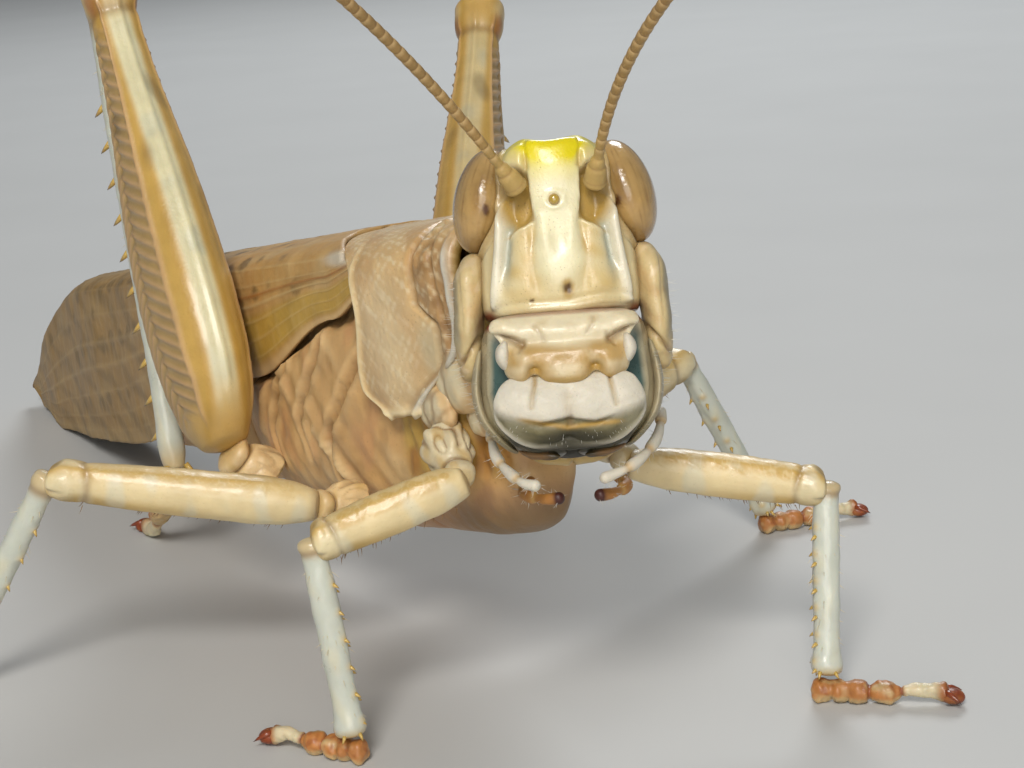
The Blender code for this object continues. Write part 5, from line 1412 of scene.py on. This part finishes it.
def spikes(name, bases, ways, lengths, widths, bend, sides):
    """Many solid curved thorns or hairs as one mesh, each a copy of one cone primitive.

    Gives back the piece, and how far along its own thorn each point lies, 0 to 1.
    """
    let_go()
    bpy.ops.mesh.primitive_cone_add(vertices=sides, radius1=MM, radius2=0.0, depth=MM, location=(0, 0, 0))
    bpy.ops.object.mode_set(mode="EDIT")
    bpy.ops.mesh.select_all(action="SELECT")
    bpy.ops.transform.translate(value=(0, 0, 0.5 * MM))
    let_go()
    piece = new_piece(name)
    one = points_of(piece)
    tip = one[:, 2] > 0.5
    girths = ((0.0, 1.0), (0.4, 0.78), (0.75, 0.42))
    rings = [one[~tip] * (1, 1, 0) * size + (0, 0, at) for at, size in girths]
    points = np.concatenate(rings + [np.array([[0.0, 0.0, 1.0], [0.0, 0.0, -0.02]])])
    faces = []
    for i in range(sides):
        j = (i + 1) % sides
        for k in range(2):
            faces.append((k * sides + i, k * sides + j, (k + 1) * sides + j, (k + 1) * sides + i))
        faces.append((2 * sides + i, 2 * sides + j, 3 * sides))
        faces.append((j, i, 3 * sides + 1))
    bases, ways = np.array(bases, float), np.array(ways, float)
    ways = ways / np.linalg.norm(ways, axis=1)[:, None]
    helper = np.where(np.abs(ways[:, 2:3]) > 0.9, (1.0, 0.0, 0.0), (0.0, 0.0, 1.0))
    across = np.cross(helper, ways)
    across /= np.linalg.norm(across, axis=1)[:, None]
    other = np.cross(ways, across)
    lengths = np.broadcast_to(lengths, len(bases))
    widths = np.broadcast_to(widths, len(bases))
    full = bases[:, None] + across[:, None] * (points[None, :, :1] * widths[:, None, None])
    full = full + other[:, None] * (points[None, :, 1:2] * widths[:, None, None])
    full = full + other[:, None] * (bend * points[None, :, 2:] ** 2 * lengths[:, None, None])
    full = full + ways[:, None] * (points[None, :, 2:] * lengths[:, None, None])
    count = len(points)
    all_faces = [tuple(c + count * i for c in face) for i in range(len(bases)) for face in faces]
    piece.data.clear_geometry()
    piece.data.from_pydata((full.reshape(-1, 3) * MM).tolist(), [], all_faces)
    piece.data.update()
    along = np.tile(points[:, 2], len(bases))
    return piece, along


def bake_chart(piece, spots):
    """Gives each hair a small patch of the OFBake map, at its root's spot on the skin's unwrap."""
    chart = piece.data.uv_layers.new(name="OFBake")
    corners = np.empty(len(piece.data.loops), np.int32)
    piece.data.loops.foreach_get("vertex_index", corners)
    count = len(piece.data.vertices) // len(spots)
    turn = np.arange(count) * 2.4
    patch = 0.0015 * np.stack((np.cos(turn), np.sin(turn)), axis=1) * np.linspace(0.5, 1.0, count)[:, None]
    spread = (np.clip(spots, 0.01, 0.99)[:, None] + patch[None]).reshape(-1, 2)
    chart.data.foreach_set("uv", spread[corners].astype(np.float32).ravel())


def limb_rows(profile, start, end, count, start_round, end_round):
    """Rows for a limb from a profile of (share of the length, half width, rise, drop)."""
    stations = [(start + (end - start) * f, 0.0, 0.5 * (rise - drop), half, 0.5 * (rise + drop))
                for f, half, rise, drop in profile]
    return rows_along(stations, count, start_round, end_round)


def make_walking_femur(name, hip, knee, place):
    """A fore or middle thigh: scaly ochre along the top, keeled, with a grooved knee, and its hairs."""
    fore = name.startswith("fore")
    length = (knee - hip).length
    start, end = 0.2, length - KNEE_ROOM
    rows = limb_rows(FORE_FEMUR if fore else MID_FEMUR, start, end, 44, 0.2, 0.3)
    thigh = grown_shell("thigh_" + name, "x", rows, 30, 2.1, 2)
    p, n = points_of(thigh), normals_of(thigh)
    x, y, z = p.T
    share = (x - start) / (end - start)
    top = soft(n[:, 2], 0.1, 0.7)
    low = soft(-n[:, 2], 0.1, 0.7)
    outer = soft(np.abs(n[:, 1]), 0.3, 0.8)
    knee_line = hump(share - 0.865 + 0.03 * np.abs(n[:, 1]), 0.015)
    lobe = blot(x, z, (end - 0.75, -0.1), (0.6, 0.5), 0.5) * outer
    saddle_spot = blot(x, np.abs(y), (end - 0.2, 0.0), (0.42, 0.5), 0.5) * soft(z, 0.0, 0.5)
    notch = hump(z + 0.25, 0.1) * soft(share, 0.9, 0.97) * outer
    scutes = cloud(p * np.array((0.9, 1.4, 1.4)), 0.7, 91, 0.0, 0.4) * soft(top + 0.3 * outer, 0.3, 0.9)
    scutes *= 1.0 if fore else 0.4
    keel = (hump(np.abs(y) - 0.48, 0.12) * top + hump(np.abs(y) - 0.45, 0.12) * low) * soft(share, 0.08, 0.2)
    rise = 0.012 * scutes - 0.05 * knee_line + 0.07 * lobe - 0.09 * notch + 0.03 * keel - 0.1 * saddle_spot
    rise += 0.012 * ripple(p, 1.2, 92)
    p += n * rise[:, None]
    move_points(thigh, p)
    coat = coat_of(thigh, THIGH_CREAM)
    cells = np.abs(ripple(p * np.array((1.0, 1.3, 1.3)), 0.62, 96))
    shaft = within(share, 0.03, 0.12, 0.84, 0.92)
    lay(coat, 0.55 * scutes * shaft, LEG_OCHRE)
    lay(coat, 0.7 * hump(np.abs(y) - 0.52, 0.16) * top * soft(share, 0.1, 0.3), LEG_OCHRE)
    lay(coat, 0.35 * soft(top, 0.2, 0.9) * shaft, LEG_OCHRE)
    lay(coat, 0.45 * fade(cells, 0.04, 0.2) * soft(top + 0.2 * outer, 0.3, 0.9) * shaft, THIGH_CREAM)
    lay(coat, 0.75 * low * soft(share, 0.2, 0.75), LEG_OCHRE)
    lay(coat, 0.5 * low * within(share, 0.6, 0.85, 0.9, 0.96), LIP_OCHRE * 0.7)
    # painted sheen: pale blue-white patches on the side faces
    lay(coat, 0.35 * soft(outer * ripple(p, 1.6, 94), 0.1, 0.8), LEG_PAINTED_SHEEN)
    lay(coat, 0.45 * knee_line + 0.6 * notch, SEAM_AND_SHADE_BROWN)
    lay(coat, 0.85 * saddle_spot, LIP_OCHRE * 0.8)
    lay(coat, 0.5 * lobe, LEG_CREAM)
    lay(coat, 0.6 * fade(share, 0.0, 0.05), SEAM_AND_SHADE_BROWN)
    finish_piece(thigh, LEG_SHELL, coat, place, ("femur_" + name,))
    # short dark hairs stand along the lower edge
    count = 46
    spots = np.stack((start + (end - start) * rng.uniform(0.1, 0.9, count),
                      rng.uniform(-0.4, 0.4, count), np.full(count, -0.76 if fore else -0.84)), axis=1)
    ways = np.stack((rng.uniform(0.1, 0.6, count), rng.normal(0, 0.3, count), np.full(count, -1.0)), axis=1)
    hair, _ = spikes("thigh_hairs_" + name, spots, ways, rng.uniform(0.22, 0.4, count), 0.018, 0.15, 5)
    bake_chart(hair, np.stack(((spots[:, 0] - start) / (end - start), 0.5 + 0.3 * spots[:, 1]), axis=1))
    finish_piece(hair, HAIR_HORN, coat_of(hair, SEAM_AND_SHADE_BROWN), place)


def make_hind_femur(name, hip, knee, place):
    """A hind thigh: herringbone ridges on both faces between keels, and a pale stripe along the top."""
    length = (knee - hip).length
    start, end = 0.55, length - 0.1
    rows = limb_rows(HIND_FEMUR, start, end, 76, 0.4, 0.35)
    thigh = grown_shell("thigh_" + name, "x", rows, 44, 2.3, 2)
    p, n = points_of(thigh), normals_of(thigh)
    x, y, z = p.T
    share = (x - start) / (end - start)
    shares, _, rises, drops = np.array(HIND_FEMUR).T
    middle = np.interp(share, shares, 0.5 * (rises - drops))
    half = np.interp(share, shares, 0.5 * (rises + drops))
    v = (z - middle) / half
    face = soft(np.abs(n[:, 1]), 0.35, 0.75)
    main = within(share, 0.04, 0.1, 0.8, 0.88)
    field = face * main * fade(np.abs(v), 0.6, 0.7)
    chevron = np.mod((x + 0.75 * np.abs(v) * half) / CHEVRON_PITCH, 1.0)
    bars = hump(chevron - 0.5, 0.2)
    spine_line = hump(v, 0.06) * face * main
    keel = hump(np.abs(v) - 0.7, 0.05) * face * within(share, 0.02, 0.08, 0.88, 0.94)
    edge = hump(y, 0.16) * soft(np.abs(n[:, 2]), 0.5, 0.9) * within(share, 0.05, 0.12, 0.9, 0.95)
    knee_line = hump(share - 0.885, 0.012)
    lobe = blot(x, v, (end - 1.3, 0.0), (1.0, 0.75), 0.4) * face
    slot_line = hump(v + 0.1, 0.12) * soft(share, 0.95, 1.0) * face
    rise = 0.075 * bars * field - 0.05 * (1 - bars) * field + 0.09 * keel + 0.1 * edge - 0.08 * knee_line
    rise += 0.08 * lobe - 0.1 * slot_line - 0.05 * spine_line + 0.015 * ripple(p, 1.8, 95)
    p += n * rise[:, None]
    move_points(thigh, p)
    left_way = (place.to_3x3() @ Vector((0, 1, 0))).x
    out = y * math.copysign(1.0, left_way if "left" in name else -left_way)
    coat = coat_of(thigh, HIND_TAN)
    lay(coat, 0.4 * cloud(p * np.array((0.7, 1.2, 1.2)), 1.6, 97, 0.0, 0.9), LEG_OCHRE)
    stripe = fade(np.abs(out - 0.12), 0.36, 0.72) * soft(n[:, 2], 0.3, 0.75)
    stripe *= within(share, 0.02, 0.14, 0.84, 0.94)
    lay(coat, (0.9 if "right" in name else 0.45) * stripe, HIND_STRIPE)
    lay(coat, 0.3 * stripe * cloud(p, 2.2, 98, 0.1, 0.9), BLUE_BLOOM)
    lay(coat, 0.55 * hump(np.abs(out - 0.12) - 0.85, 0.16) * soft(n[:, 2], 0.0, 0.4), LIP_OCHRE)
    lay(coat, field * 0.9, HIND_OUTER)
    lay(coat, field * bars * 0.75, HIND_RIDGE)
    lay(coat, 0.7 * face * hump(v - 0.84, 0.09) * main, LEG_OCHRE)
    lay(coat, 0.75 * keel, HIND_RIDGE)
    lay(coat, 0.7 * face * soft(-v, 0.72, 0.8) * main, LEG_OCHRE)
    lay(coat, 0.5 * knee_line + 0.5 * slot_line, SEAM_AND_SHADE_BROWN)
    lay(coat, 0.35 * lobe, LEG_CREAM)
    dark = blot(x, v, (end - 2.2, 0.35), (0.55, 0.35), 0.7) * face
    smudge = cloud(p * np.array((0.6, 1.0, 1.0)), 2.6, 99, 0.5, 1.0) * soft(share, 0.35, 0.6)
    lay(coat, 0.45 * smudge * fade(share, 0.86, 0.94), WING_SPOT_AND_SHADE)
    lay(coat, 0.6 * dark, FOOT_RED)
    finish_piece(thigh, LEG_SHELL, coat, place, ("femur_" + name,))


def make_shin(name, knee, ankle, place, hind):
    """A pale shin with its hairs and two rows of thorns, larger and black tipped on the hind legs."""
    start = 0.35 if hind else -0.35
    end = (ankle - knee).length - 0.3
    radius = SHIN_RADIUS
    knob = 1.0 if hind else 0.86
    profile = ((0.0, 0.8 * knob, 0.85, 0.85), (0.03, knob, 1.1, 1.1)) + SHIN
    profile = [(f, h * radius, r * radius, d * radius) for f, h, r, d in profile]
    shin = grown_shell("shin_shell_" + name, "x", limb_rows(profile, start, end, 46, 0.25, 0.2), 22, 2.2, 2)
    p, n = points_of(shin), normals_of(shin)
    x, y = p[:, 0], p[:, 1]
    share = (x - start) / (end - start)
    lean = 1.0 if hind else -1.0
    flat = soft(lean * n[:, 2], 0.2, 0.8)
    neck = hump(share - 0.075, 0.02)
    rows = 10 if hind else 6
    places = [start + (end - start) * (0.24 + 0.68 * i / (rows - 1)) for i in range(rows)]
    seat = sum(hump(np.hypot(x - at, np.abs(y) - 0.6 * radius), 0.16) for at in places) * flat
    rise = 0.06 * seat - 0.05 * neck + 0.015 * ripple(p, 0.9, 101) - 0.03 * flat * hump(y, 0.15)
    p += n * rise[:, None]
    move_points(shin, p)
    coat = coat_of(shin, SHIN_WHITE)
    lay(coat, 0.4 * cloud(p * np.array((0.6, 1, 1)), 1.3, 102, 0.1, 0.9), LEG_CREAM)
    lay(coat, 0.6 * fade(share, 0.05, 0.12), LEG_OCHRE)
    lay(coat, 0.5 * neck, SEAM_AND_SHADE_BROWN)
    lay(coat, 0.6 * seat, SPINE_YELLOW)
    lay(coat, 0.65 * soft(share, 0.93, 0.99), LEG_OCHRE)
    finish_piece(shin, SHIN_SHELL, coat, place, ("tibia_" + name,))
    bases, ways, lengths = [], [], []
    for i, at in enumerate(places):
        for side in (1, -1):
            shift = 0.35 * (places[1] - places[0]) if side < 0 else 0.0
            bases.append((min(at + shift, end - 0.3), side * radius * 0.58, lean * radius * 0.72))
            ways.append((0.75, side * 0.55, lean * 1.2))
            lengths.append(0.95 if hind else 0.3)
    for side in (1, -1):
        for low in (1, -1):
            bases.append((end - 0.2, side * radius * 0.8, low * lean * radius * 0.5))
            ways.append((1.0, side * 0.55, low * lean * 0.4))
            lengths.append(0.95 if hind else 0.34)
    width = 0.15 if hind else 0.085
    thorns, along = spikes("shin_spines_" + name, bases, ways, np.array(lengths), width, 0.12, 9)
    coat = coat_of(thorns, SPINE_YELLOW)
    lay(coat, soft(along, 0.66, 0.85) * (1.0 if hind else 0.7), SPINE_BLACK if hind else SEAM_AND_SHADE_BROWN)
    finish_piece(thorns, SHIN_SHELL, coat, place)
    count = 40
    around = rng.uniform(0, 2 * math.pi, count)
    spots = np.stack((start + (end - start) * rng.uniform(0.15, 0.95, count),
                      0.86 * radius * np.cos(around), 0.88 * radius * np.sin(around)), axis=1)
    ways = np.stack((rng.uniform(0.4, 1.2, count), np.cos(around), np.sin(around)), axis=1)
    hair, _ = spikes("shin_hairs_" + name, spots, ways, rng.uniform(0.2, 0.42, count), 0.014, 0.15, 5)
    bake_chart(hair, np.stack(((spots[:, 0] - start) / (end - start), around / (2 * math.pi)), axis=1))
    finish_piece(hair, HAIR_HORN, coat_of(hair, HAIR_PALE), place)


def make_foot(name, ankle, toe, hind):
    """Three padded joints, a round end pad and two claws; the pads lie flat on the floor."""
    size = 1.15 if hind else 1.0
    raised = ankle.z > RAISED_ANKLE
    path = []
    for f in np.linspace(0.08 if raised else -0.12, 1.0, 60):
        point = ankle.lerp(toe, float(f))
        if raised:
            point.z = ankle.z + (toe.z - ankle.z) * soft(f, 0.0, 0.85)
        else:
            point.z = FOOT_MIDDLE * size + 0.14 * hump(f - 0.72, 0.14)
        path.append(tuple(point))
    length = path_length(path)
    rows = rod_rows([(f * length, wide * size, tall * size) for f, wide, tall in FOOT])
    foot = grown_shell("foot_" + name, "x", rows_along(rows, 84, 0.12, 0.1), 32, 2.2, 1)
    p, n = points_of(foot), normals_of(foot)
    share = p[:, 0] / length
    under = soft(-n[:, 2], 0.0, 0.6)
    split = hump(share - 0.395, 0.013) + hump(share - 0.615, 0.012)
    splits = hump(share - 0.14, 0.01) + hump(share - 0.25, 0.01)
    rise = -0.07 * split - 0.07 * splits * under + 0.05 * ripple(p, 0.8, 111) + 0.02 * ripple(p, 0.35, 113)
    p += n * rise[:, None]
    coat = coat_of(foot, FOOT_ORANGE)
    lay(coat, 0.7 * cloud(p, 0.8, 112, 0.0, 0.9), FOOT_PALE)
    lay(coat, 0.45 * cloud(p, 0.5, 114, 0.2, 0.9), FOOT_RED)
    lay(coat, 0.8 * under, FOOT_PALE)
    lay(coat, 0.85 * within(share, 0.6, 0.66, 0.82, 0.9), LEG_CREAM)
    lay(coat, 0.75 * soft(share, 0.84, 0.93), FOOT_RED)
    lay(coat, 0.6 * split, SEAM_RED)
    p = lay_along(p, path)
    p[:, 2] = np.maximum(p[:, 2], FLOOR_GAP)
    move_points(foot, p)
    finish_piece(foot, FOOT_SHELL, coat, stance, ("tarsus_" + name,))
    ahead = (Vector(path[-1]) - Vector(path[-8])).normalized()
    side_way = ahead.cross(Vector((0, 0, 1))).normalized()
    pad_place = Vector(path[-4])
    pad = round_ball("end_pad_" + name, 28, 18)
    q = points_of(pad) * np.array((0.5, 0.46, 0.3)) * size
    q = q @ np.array((ahead, side_way, (0, 0, 1))) + np.array(pad_place)
    q[:, 2] = np.maximum(q[:, 2] - 0.1, FLOOR_GAP)
    move_points(pad, q)
    coat = coat_of(pad, FOOT_RED)
    lay(coat, 0.5 * cloud(q, 0.5, 115, 0.0, 0.8), FOOT_ORANGE)
    finish_piece(pad, FOOT_SHELL, coat, stance)
    bases, ways = [], []
    for side in (1, -1):
        bases.append(pad_place - ahead * 0.25 + side_way * side * 0.2 + Vector((0, 0, 0.14)))
        ways.append(ahead + side_way * side * 0.75 - Vector((0, 0, 0.15)))
    claws, along = spikes("claws_" + name, bases, ways, 0.82 * size, 0.15 * size, -0.2, 10)
    q = points_of(claws)
    q[:, 2] = np.maximum(q[:, 2], 0.03)
    move_points(claws, q)
    coat = coat_of(claws, FOOT_RED)
    lay(coat, soft(along, 0.7, 0.95), SPINE_BLACK)
    finish_piece(claws, SHIN_SHELL, coat, stance)


def make_hip(name, root, hip, knee, hind):
    """The creased hip joint between the trunk and a thigh, with its small ring before the thigh."""
    ahead = (knee - hip).normalized()
    end = hip + ahead * (0.5 if hind else 0.45)
    radius = 1.25 if hind else 0.92
    inward = root - (end - root).normalized() * 0.3
    path = [tuple(inward.lerp(end, i / 20.0)) for i in range(21)]
    length = path_length(path)
    slim = 0.72 if hind else 0.66
    profile = [(0.0, 0.95), (0.12, 1.05), (0.35, 1.02), (0.56, 0.86), (0.66, slim + 0.04),
               (0.72, slim - 0.08), (0.8, slim), (0.92, slim - 0.02), (1.0, 0.5)]
    rows = rod_rows([(f * length, girth * radius) for f, girth in profile])
    coxa = grown_shell("hip_" + name, "x", rows_along(rows, 50, 0.3, 0.15), 40, 2.1, 1)
    p, n = points_of(coxa), normals_of(coxa)
    share = p[:, 0] / length
    seam = hump(share - 0.715, 0.02)
    groove = hump(p[:, 1] - 0.3 * radius, 0.12) * soft(n[:, 2], 0.0, 0.5) * fade(share, 0.5, 0.65)
    ribs = np.abs(ripple(p * np.array((0.7, 1.2, 1.2)), 1.2, 123))
    body = fade(share, 0.5, 0.65)
    fold = 0.18 if name.startswith("fore") else 0.07
    rise = -0.08 * seam - 0.08 * groove + 0.05 * ripple(p, 1.1, 121) + fold * (ribs - 0.5) * body
    p += n * rise[:, None]
    coat = coat_of(coxa, HIP_CREAM if name.startswith("fore") else FLANK_PALE)
    # painted shade: the creases between the ribs darkened
    lay(coat, 4.0 * fold * fade(ribs, 0.02, 0.22) * body, FLANK_SEAM_AND_SHADE)
    lay(coat, 0.5 * cloud(p, 1.0, 122, 0.2, 0.9), LEG_OCHRE)
    lay(coat, 0.7 * seam + 0.4 * groove, SEAM_AND_SHADE_BROWN)
    lay(coat, 0.5 * soft(share, 0.9, 1.0), LEG_OCHRE)
    move_points(coxa, lay_along(p, path))
    finish_piece(coxa, CHEEK_SHELL, coat, stance, ("coxa_" + name,))


def make_legs():
    """Every leg from the hip down; a hind shin hinges below the line of its thigh."""
    for name, places in LEGS.items():
        root, hip, knee, ankle, toe = (Vector(p) for p in places)
        hind = name.startswith("hind")
        make_hip(name, root, hip, knee, hind)
        if hind:
            axis = (knee - hip).normalized()
            femur_top = (axis * (ankle - knee).dot(axis) - (ankle - knee)).normalized()
            shin_start = knee - femur_top * SHIN_DROP
            make_hind_femur(name, hip, knee, stance @ aim(hip, knee, femur_top))
            make_shin(name, shin_start, ankle, stance @ aim(shin_start, ankle, -femur_top), True)
        else:
            make_walking_femur(name, hip, knee, stance @ aim(hip, knee, Vector((0, 0, 1))))
            make_shin(name, knee, ankle, stance @ aim(knee, ankle, (knee - hip).normalized()), False)
        make_foot(name, ankle, toe, hind)


HIP_FOLDS = [
    # place over the floor on the right side, half sizes, seed
    ((-2.75, -9.9, 13.9), (0.6, 1.6, 1.4), 131), ((-3.1, -8.7, 12.6), (0.5, 1.3, 1.1), 132),
    ((-2.3, -10.8, 12.6), (0.5, 0.9, 0.9), 133),
]


def make_hip_folds():
    """The pale creased skin plates between the saddle's lower corner and each fore hip."""
    for side, name in SIDES:
        for i, (place, size, seed) in enumerate(HIP_FOLDS):
            fold = round_ball("hip_fold_%s_%d" % (name, i + 1), 72, 48)
            p, n = points_of(fold) * np.array(size), normals_of(fold)
            ribs = np.abs(ripple(p * np.array((0.6, 1.3, 0.9)), 2.1, seed))
            p += n * (0.13 * (ribs - 0.5) + 0.03 * ripple(p, 0.5, seed + 9))[:, None]
            coat = coat_of(fold, HIP_CREAM)
            lay(coat, 0.4 * cloud(p, 0.9, seed + 5, 0.0, 0.9), FLANK_PALE)
            # painted shade: the creases between the ribs darkened
            lay(coat, 0.55 * fade(ribs, 0.02, 0.26), FLANK_SEAM_AND_SHADE)
            lay(coat, 0.7 * soft(np.hypot(p[:, 1] / size[1], p[:, 2] / size[2]), 0.55, 0.95), FLANK_SAND)
            p[:, 0] *= -side
            p += np.array((-place[0] * side, place[1], place[2]))
            move_points(fold, p)
            if side > 0:
                fold.data.flip_normals()
            finish_piece(fold, SOFT_SKIN, coat, stance)


make_head_shell()
make_eyes()
make_ocelli()
make_clypeus()
make_labrum()
make_cheeks()
make_jaws()
make_jaw_covers()
make_labium()
make_palps()
make_feelers()
make_hairs()
make_neck()
make_pronotum()
make_trunk()
make_wings()
make_hind_wings()
make_legs()
make_hip_folds()


# ---------------------------------------------------------------- floor, lights and camera

CAMERA_SPOT = Vector((-40.1, -77.9, 35.2))
CAMERA_TURN = 30.3
CAMERA_DIP = 15.6
CAMERA_ROLL = 4.3
CAMERA_LENS = 73.8


def make_floor():
    let_go()
    bpy.ops.mesh.primitive_plane_add(size=6.0, location=(0, 0, 0))
    floor = new_piece("floor")
    paper = bpy.data.materials.new("pale floor")
    paper.use_nodes = True
    nodes, links = paper.node_tree.nodes, paper.node_tree.links
    shader = nodes["Principled BSDF"]
    place = nodes.new("ShaderNodeTexCoord")
    grain = nodes.new("ShaderNodeTexNoise")
    grain.inputs["Scale"].default_value = 60.0
    links.new(place.outputs["Object"], grain.inputs["Vector"])
    shade = nodes.new("ShaderNodeMix")
    shade.data_type = "RGBA"
    shade.inputs["A"].default_value = (0.50, 0.50, 0.49, 1.0)
    shade.inputs["B"].default_value = (0.54, 0.54, 0.53, 1.0)
    links.new(grain.outputs["Fac"], shade.inputs["Factor"])
    links.new(shade.outputs["Result"], shader.inputs["Base Color"])
    shader.inputs["Roughness"].default_value = 0.7
    floor.data.materials.append(paper)


def make_light(name, spot, target, size, power, colour):
    data = bpy.data.lights.new(name, "AREA")
    data.shape = "DISK"
    data.size = size
    data.energy = power
    data.color = colour
    lamp = bpy.data.objects.new(name, data)
    bpy.context.scene.collection.objects.link(lamp)
    lamp.location = spot
    lamp.rotation_euler = (Vector(target) - Vector(spot)).to_track_quat("-Z", "Y").to_euler()


def make_lights():
    world = bpy.data.worlds.new("studio")
    world.use_nodes = True
    world.node_tree.nodes["Background"].inputs["Color"].default_value = (0.9, 0.95, 1.0, 1.0)
    world.node_tree.nodes["Background"].inputs["Strength"].default_value = 0.2
    bpy.context.scene.world = world
    head = HEAD.translation
    make_light("key", (-0.17, -0.22, 0.26), head, 0.12, 0.9, (1.0, 0.97, 0.92))
    make_light("front_fill", (-0.17, -0.34, 0.11), head, 0.25, 0.5, (1.0, 0.96, 0.9))
    make_light("rim", (0.20, 0.22, 0.24), head, 0.16, 0.62, (0.93, 0.97, 1.0))


def make_camera():
    turn, dip, roll = (math.radians(a) for a in (CAMERA_TURN, CAMERA_DIP, CAMERA_ROLL))
    ahead = Vector((math.sin(turn) * math.cos(dip), math.cos(turn) * math.cos(dip), -math.sin(dip)))
    level = Vector((math.cos(turn), -math.sin(turn), 0.0))
    upright = level.cross(ahead)
    right = level * math.cos(roll) - upright * math.sin(roll)
    up = level * math.sin(roll) + upright * math.cos(roll)
    data = bpy.data.cameras.new("camera")
    data.sensor_width = 36.0
    data.sensor_fit = "HORIZONTAL"
    data.lens = CAMERA_LENS
    data.clip_start = 0.005
    camera = bpy.data.objects.new("camera", data)
    bpy.context.scene.collection.objects.link(camera)
    aimed = Matrix((right, up, -ahead)).transposed().to_4x4()
    camera.matrix_world = stance @ Matrix.Translation(CAMERA_SPOT * MM) @ aimed
    bpy.context.scene.camera = camera


make_floor()
make_lights()
make_camera()
bpy.context.scene.view_settings.view_transform = "Standard"
let_go()
